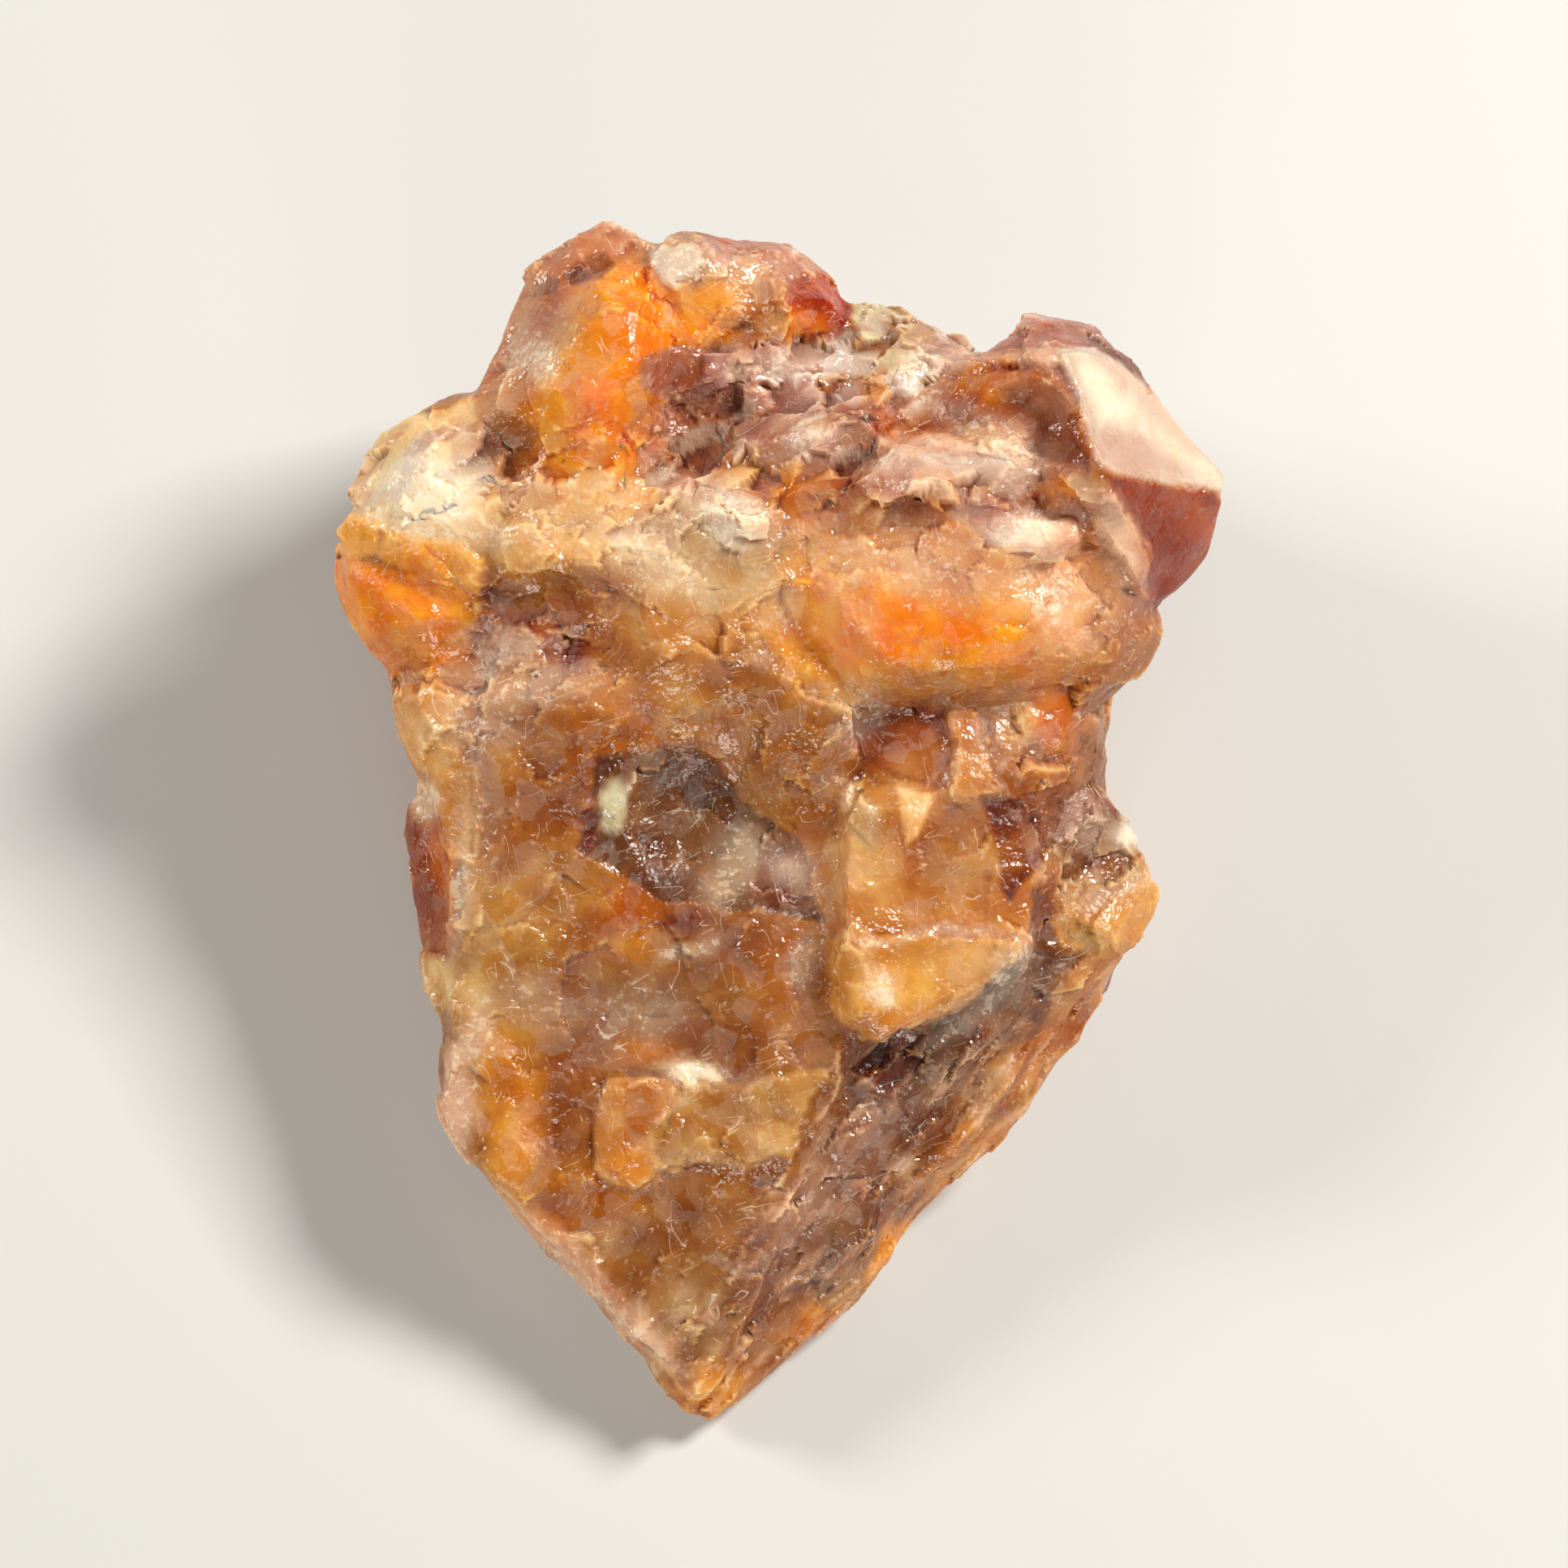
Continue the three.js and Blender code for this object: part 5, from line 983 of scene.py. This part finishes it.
def mixed(tree, share, colour, other):
    """A colour socket mixed by a share with another, plain colour."""
    sockets = {MIX_SHARE: share, MIX_FIRST: colour, MIX_OTHER: (*other, 1)}
    return add_node(tree, "ShaderNodeMix", sockets, data_type="RGBA").outputs[MIX_RESULT]


def painted(tree, name):
    """The colour painted on the mesh under a name."""
    return add_node(tree, "ShaderNodeVertexColor", {}, layer_name=name).outputs["Color"]


def frost_and_glint_veil(tree, frost_and_glints, shown):
    """How much white lies over the stone: sugary flecks, partly painted glints, with a haze between them."""
    flecks = placed(tree, frost_and_glint_group(), Amount=frost_and_glints, Scale=4.5).outputs["Flecks"]
    flecks = maths(tree, "MULTIPLY", flecks, ramp(tree, frost_and_glints, 0.0, 1.0, 0.15, 0.65))
    flecks = maths(tree, "MULTIPLY", flecks, shown)
    return maths(tree, "MAXIMUM", flecks, maths(tree, "MULTIPLY", frost_and_glints, 0.32))


def fine_relief(tree, grain):
    """The normals of small grains that lean their own ways, with a faint unevenness."""
    unevenness = maths(tree, "MULTIPLY", noise(tree, millimetres(tree), 7.0, 1.0)["Fac"], 0.04)
    height = maths(tree, "ADD", maths(tree, "MULTIPLY", grain["Relief"], 0.30), unevenness)
    sockets = {"Distance": MM, "Strength": 0.9, "Height": height}
    return add_node(tree, "ShaderNodeBump", sockets).outputs["Normal"]


def garnet_material():
    """Translucent garnet: coloured by its zones, frosted in patches whose white is partly painted glints, with
    fine pale scratches.
    """
    material = bpy.data.materials.new("garnet")
    material.use_nodes = True
    tree = material.node_tree
    shader = tree.nodes["Principled BSDF"]
    grain = placed(tree, grain_group(), Scale=1.9).outputs
    cracks = placed(tree, hairlines_group(), Density=0.55, Width=0.010).outputs
    wear_parts = parts_of(tree, painted(tree, "wear"))
    frost_and_glints, shown = wear_parts["Red"], wear_parts["Green"]
    scratches = maths(tree, "MULTIPLY", cracks["Scratches"], shown)

    pale = tuple(linear(PALETTE["white"]))
    pale_grains = ramp(tree, grain["Grain"], 0.5, 1.0, 0.0, 0.06)
    colour = mixed(tree, pale_grains, painted(tree, "stone_colour"), pale)
    colour = mixed(tree, frost_and_glint_veil(tree, frost_and_glints, shown), colour, pale)
    colour = mixed(tree, maths(tree, "MULTIPLY", scratches, 0.5), colour, pale)
    rough = ramp(tree, grain["Grain"], 0.0, 1.0, 0.18, 0.55)
    rough = maths(tree, "MAXIMUM", rough, maths(tree, "MULTIPLY", scratches, 0.7))
    stone = {
        "Base Color": colour,
        "Roughness": rough,
        "Normal": fine_relief(tree, grain),
        "IOR": 1.55,
        "Specular IOR Level": 0.45,
        "Subsurface Weight": 0.6,
        "Subsurface Radius": (1.0, 0.5, 0.2),
        "Subsurface Scale": 0.6 * MM,
    }
    for socket, value in stone.items():
        feed(tree, shader.inputs[socket], value)
    return material


def make_specimen():
    piece = copied_solid()
    remesh(piece, ROUGH_STEP)
    close_gaps(piece)
    remesh(piece, SURFACE_STEP)
    cut_crystals(piece)
    work_surface(piece)
    break_into_shards(piece)
    thin_out(piece)
    colour_surface(piece)
    piece.data.materials.append(garnet_material())
    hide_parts(SPECIMEN)
    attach(piece, "root")


# The stage

# Soft lights: place on the face and size in mm, watts, tint.
LIGHTS = {
    "key_light": ((150, 120, 140), 60, 0.71, (1, 0.97, 0.93)),
    "left_light": ((-180, 90, 90), 60, 0.29, (1, 0.97, 0.93)),
    "low_light": ((10, -180, 110), 80, 0.21, (1, 0.95, 0.88)),
}
WORLD_COLOUR, WORLD_STRENGTH = (1.0, 0.98, 0.96, 1), 0.11
FLOOR_REACH = 0.5  # m, from its middle to its edges
FLOOR_COLOUR = (0.62, 0.62, 0.60, 1)
LENS, SENSOR = 250, 36  # mm
PICTURE_WIDTH = 38.64  # mm, at the specimen
PICTURE_MIDDLE = (1.32, 0.68, 1.5)  # mm on the face


def make_floor():
    mesh = bpy.data.meshes.new("floor")
    corners = [(x * FLOOR_REACH, y * FLOOR_REACH, 0) for x, y in ((-1, -1), (1, -1), (1, 1), (-1, 1))]
    mesh.from_pydata(corners, [], [(0, 1, 2, 3)])
    floor = in_scene("floor", mesh)
    material = bpy.data.materials.new("pale_floor")
    material.use_nodes = True
    shader = material.node_tree.nodes["Principled BSDF"]
    shader.inputs["Base Color"].default_value = FLOOR_COLOUR
    shader.inputs["Roughness"].default_value = 0.7
    mesh.materials.append(material)


def soft_light(name, place, size, watts, tint):
    """A square soft light at a place given on the face, in mm, turned towards the specimen."""
    light = bpy.data.lights.new(name, "AREA")
    light.energy = watts
    light.size = size * MM
    light.color = tint
    lamp = in_scene(name, light)
    lamp.location = from_face(*place)
    lamp.rotation_mode = "QUATERNION"
    lamp.rotation_quaternion = (from_face(0, 0, 0) - lamp.location).to_track_quat("-Z", "Y")


def make_lights():
    for name, values in LIGHTS.items():
        soft_light(name, *values)
    world = bpy.data.worlds.new("studio")
    world.use_nodes = True
    background = world.node_tree.nodes["Background"]
    background.inputs["Color"].default_value = WORLD_COLOUR
    background.inputs["Strength"].default_value = WORLD_STRENGTH
    bpy.context.scene.world = world
    bpy.context.scene.view_settings.view_transform = "Standard"


def make_camera():
    """Looks straight down onto the face. The picture is square."""
    camera = bpy.data.cameras.new("camera")
    camera.lens = LENS
    camera.sensor_width = SENSOR
    camera.clip_start = 0.01
    camera.clip_end = 10
    eye = in_scene("camera", camera)
    x, y, z = PICTURE_MIDDLE
    eye.location = from_face(x, y, z + PICTURE_WIDTH * LENS / SENSOR)
    eye.rotation_mode = "QUATERNION"
    eye.rotation_quaternion = Matrix((RIGHT, UP, OUT)).transposed().to_quaternion()
    bpy.context.scene.camera = eye


make_specimen()
make_floor()
make_lights()
make_camera()
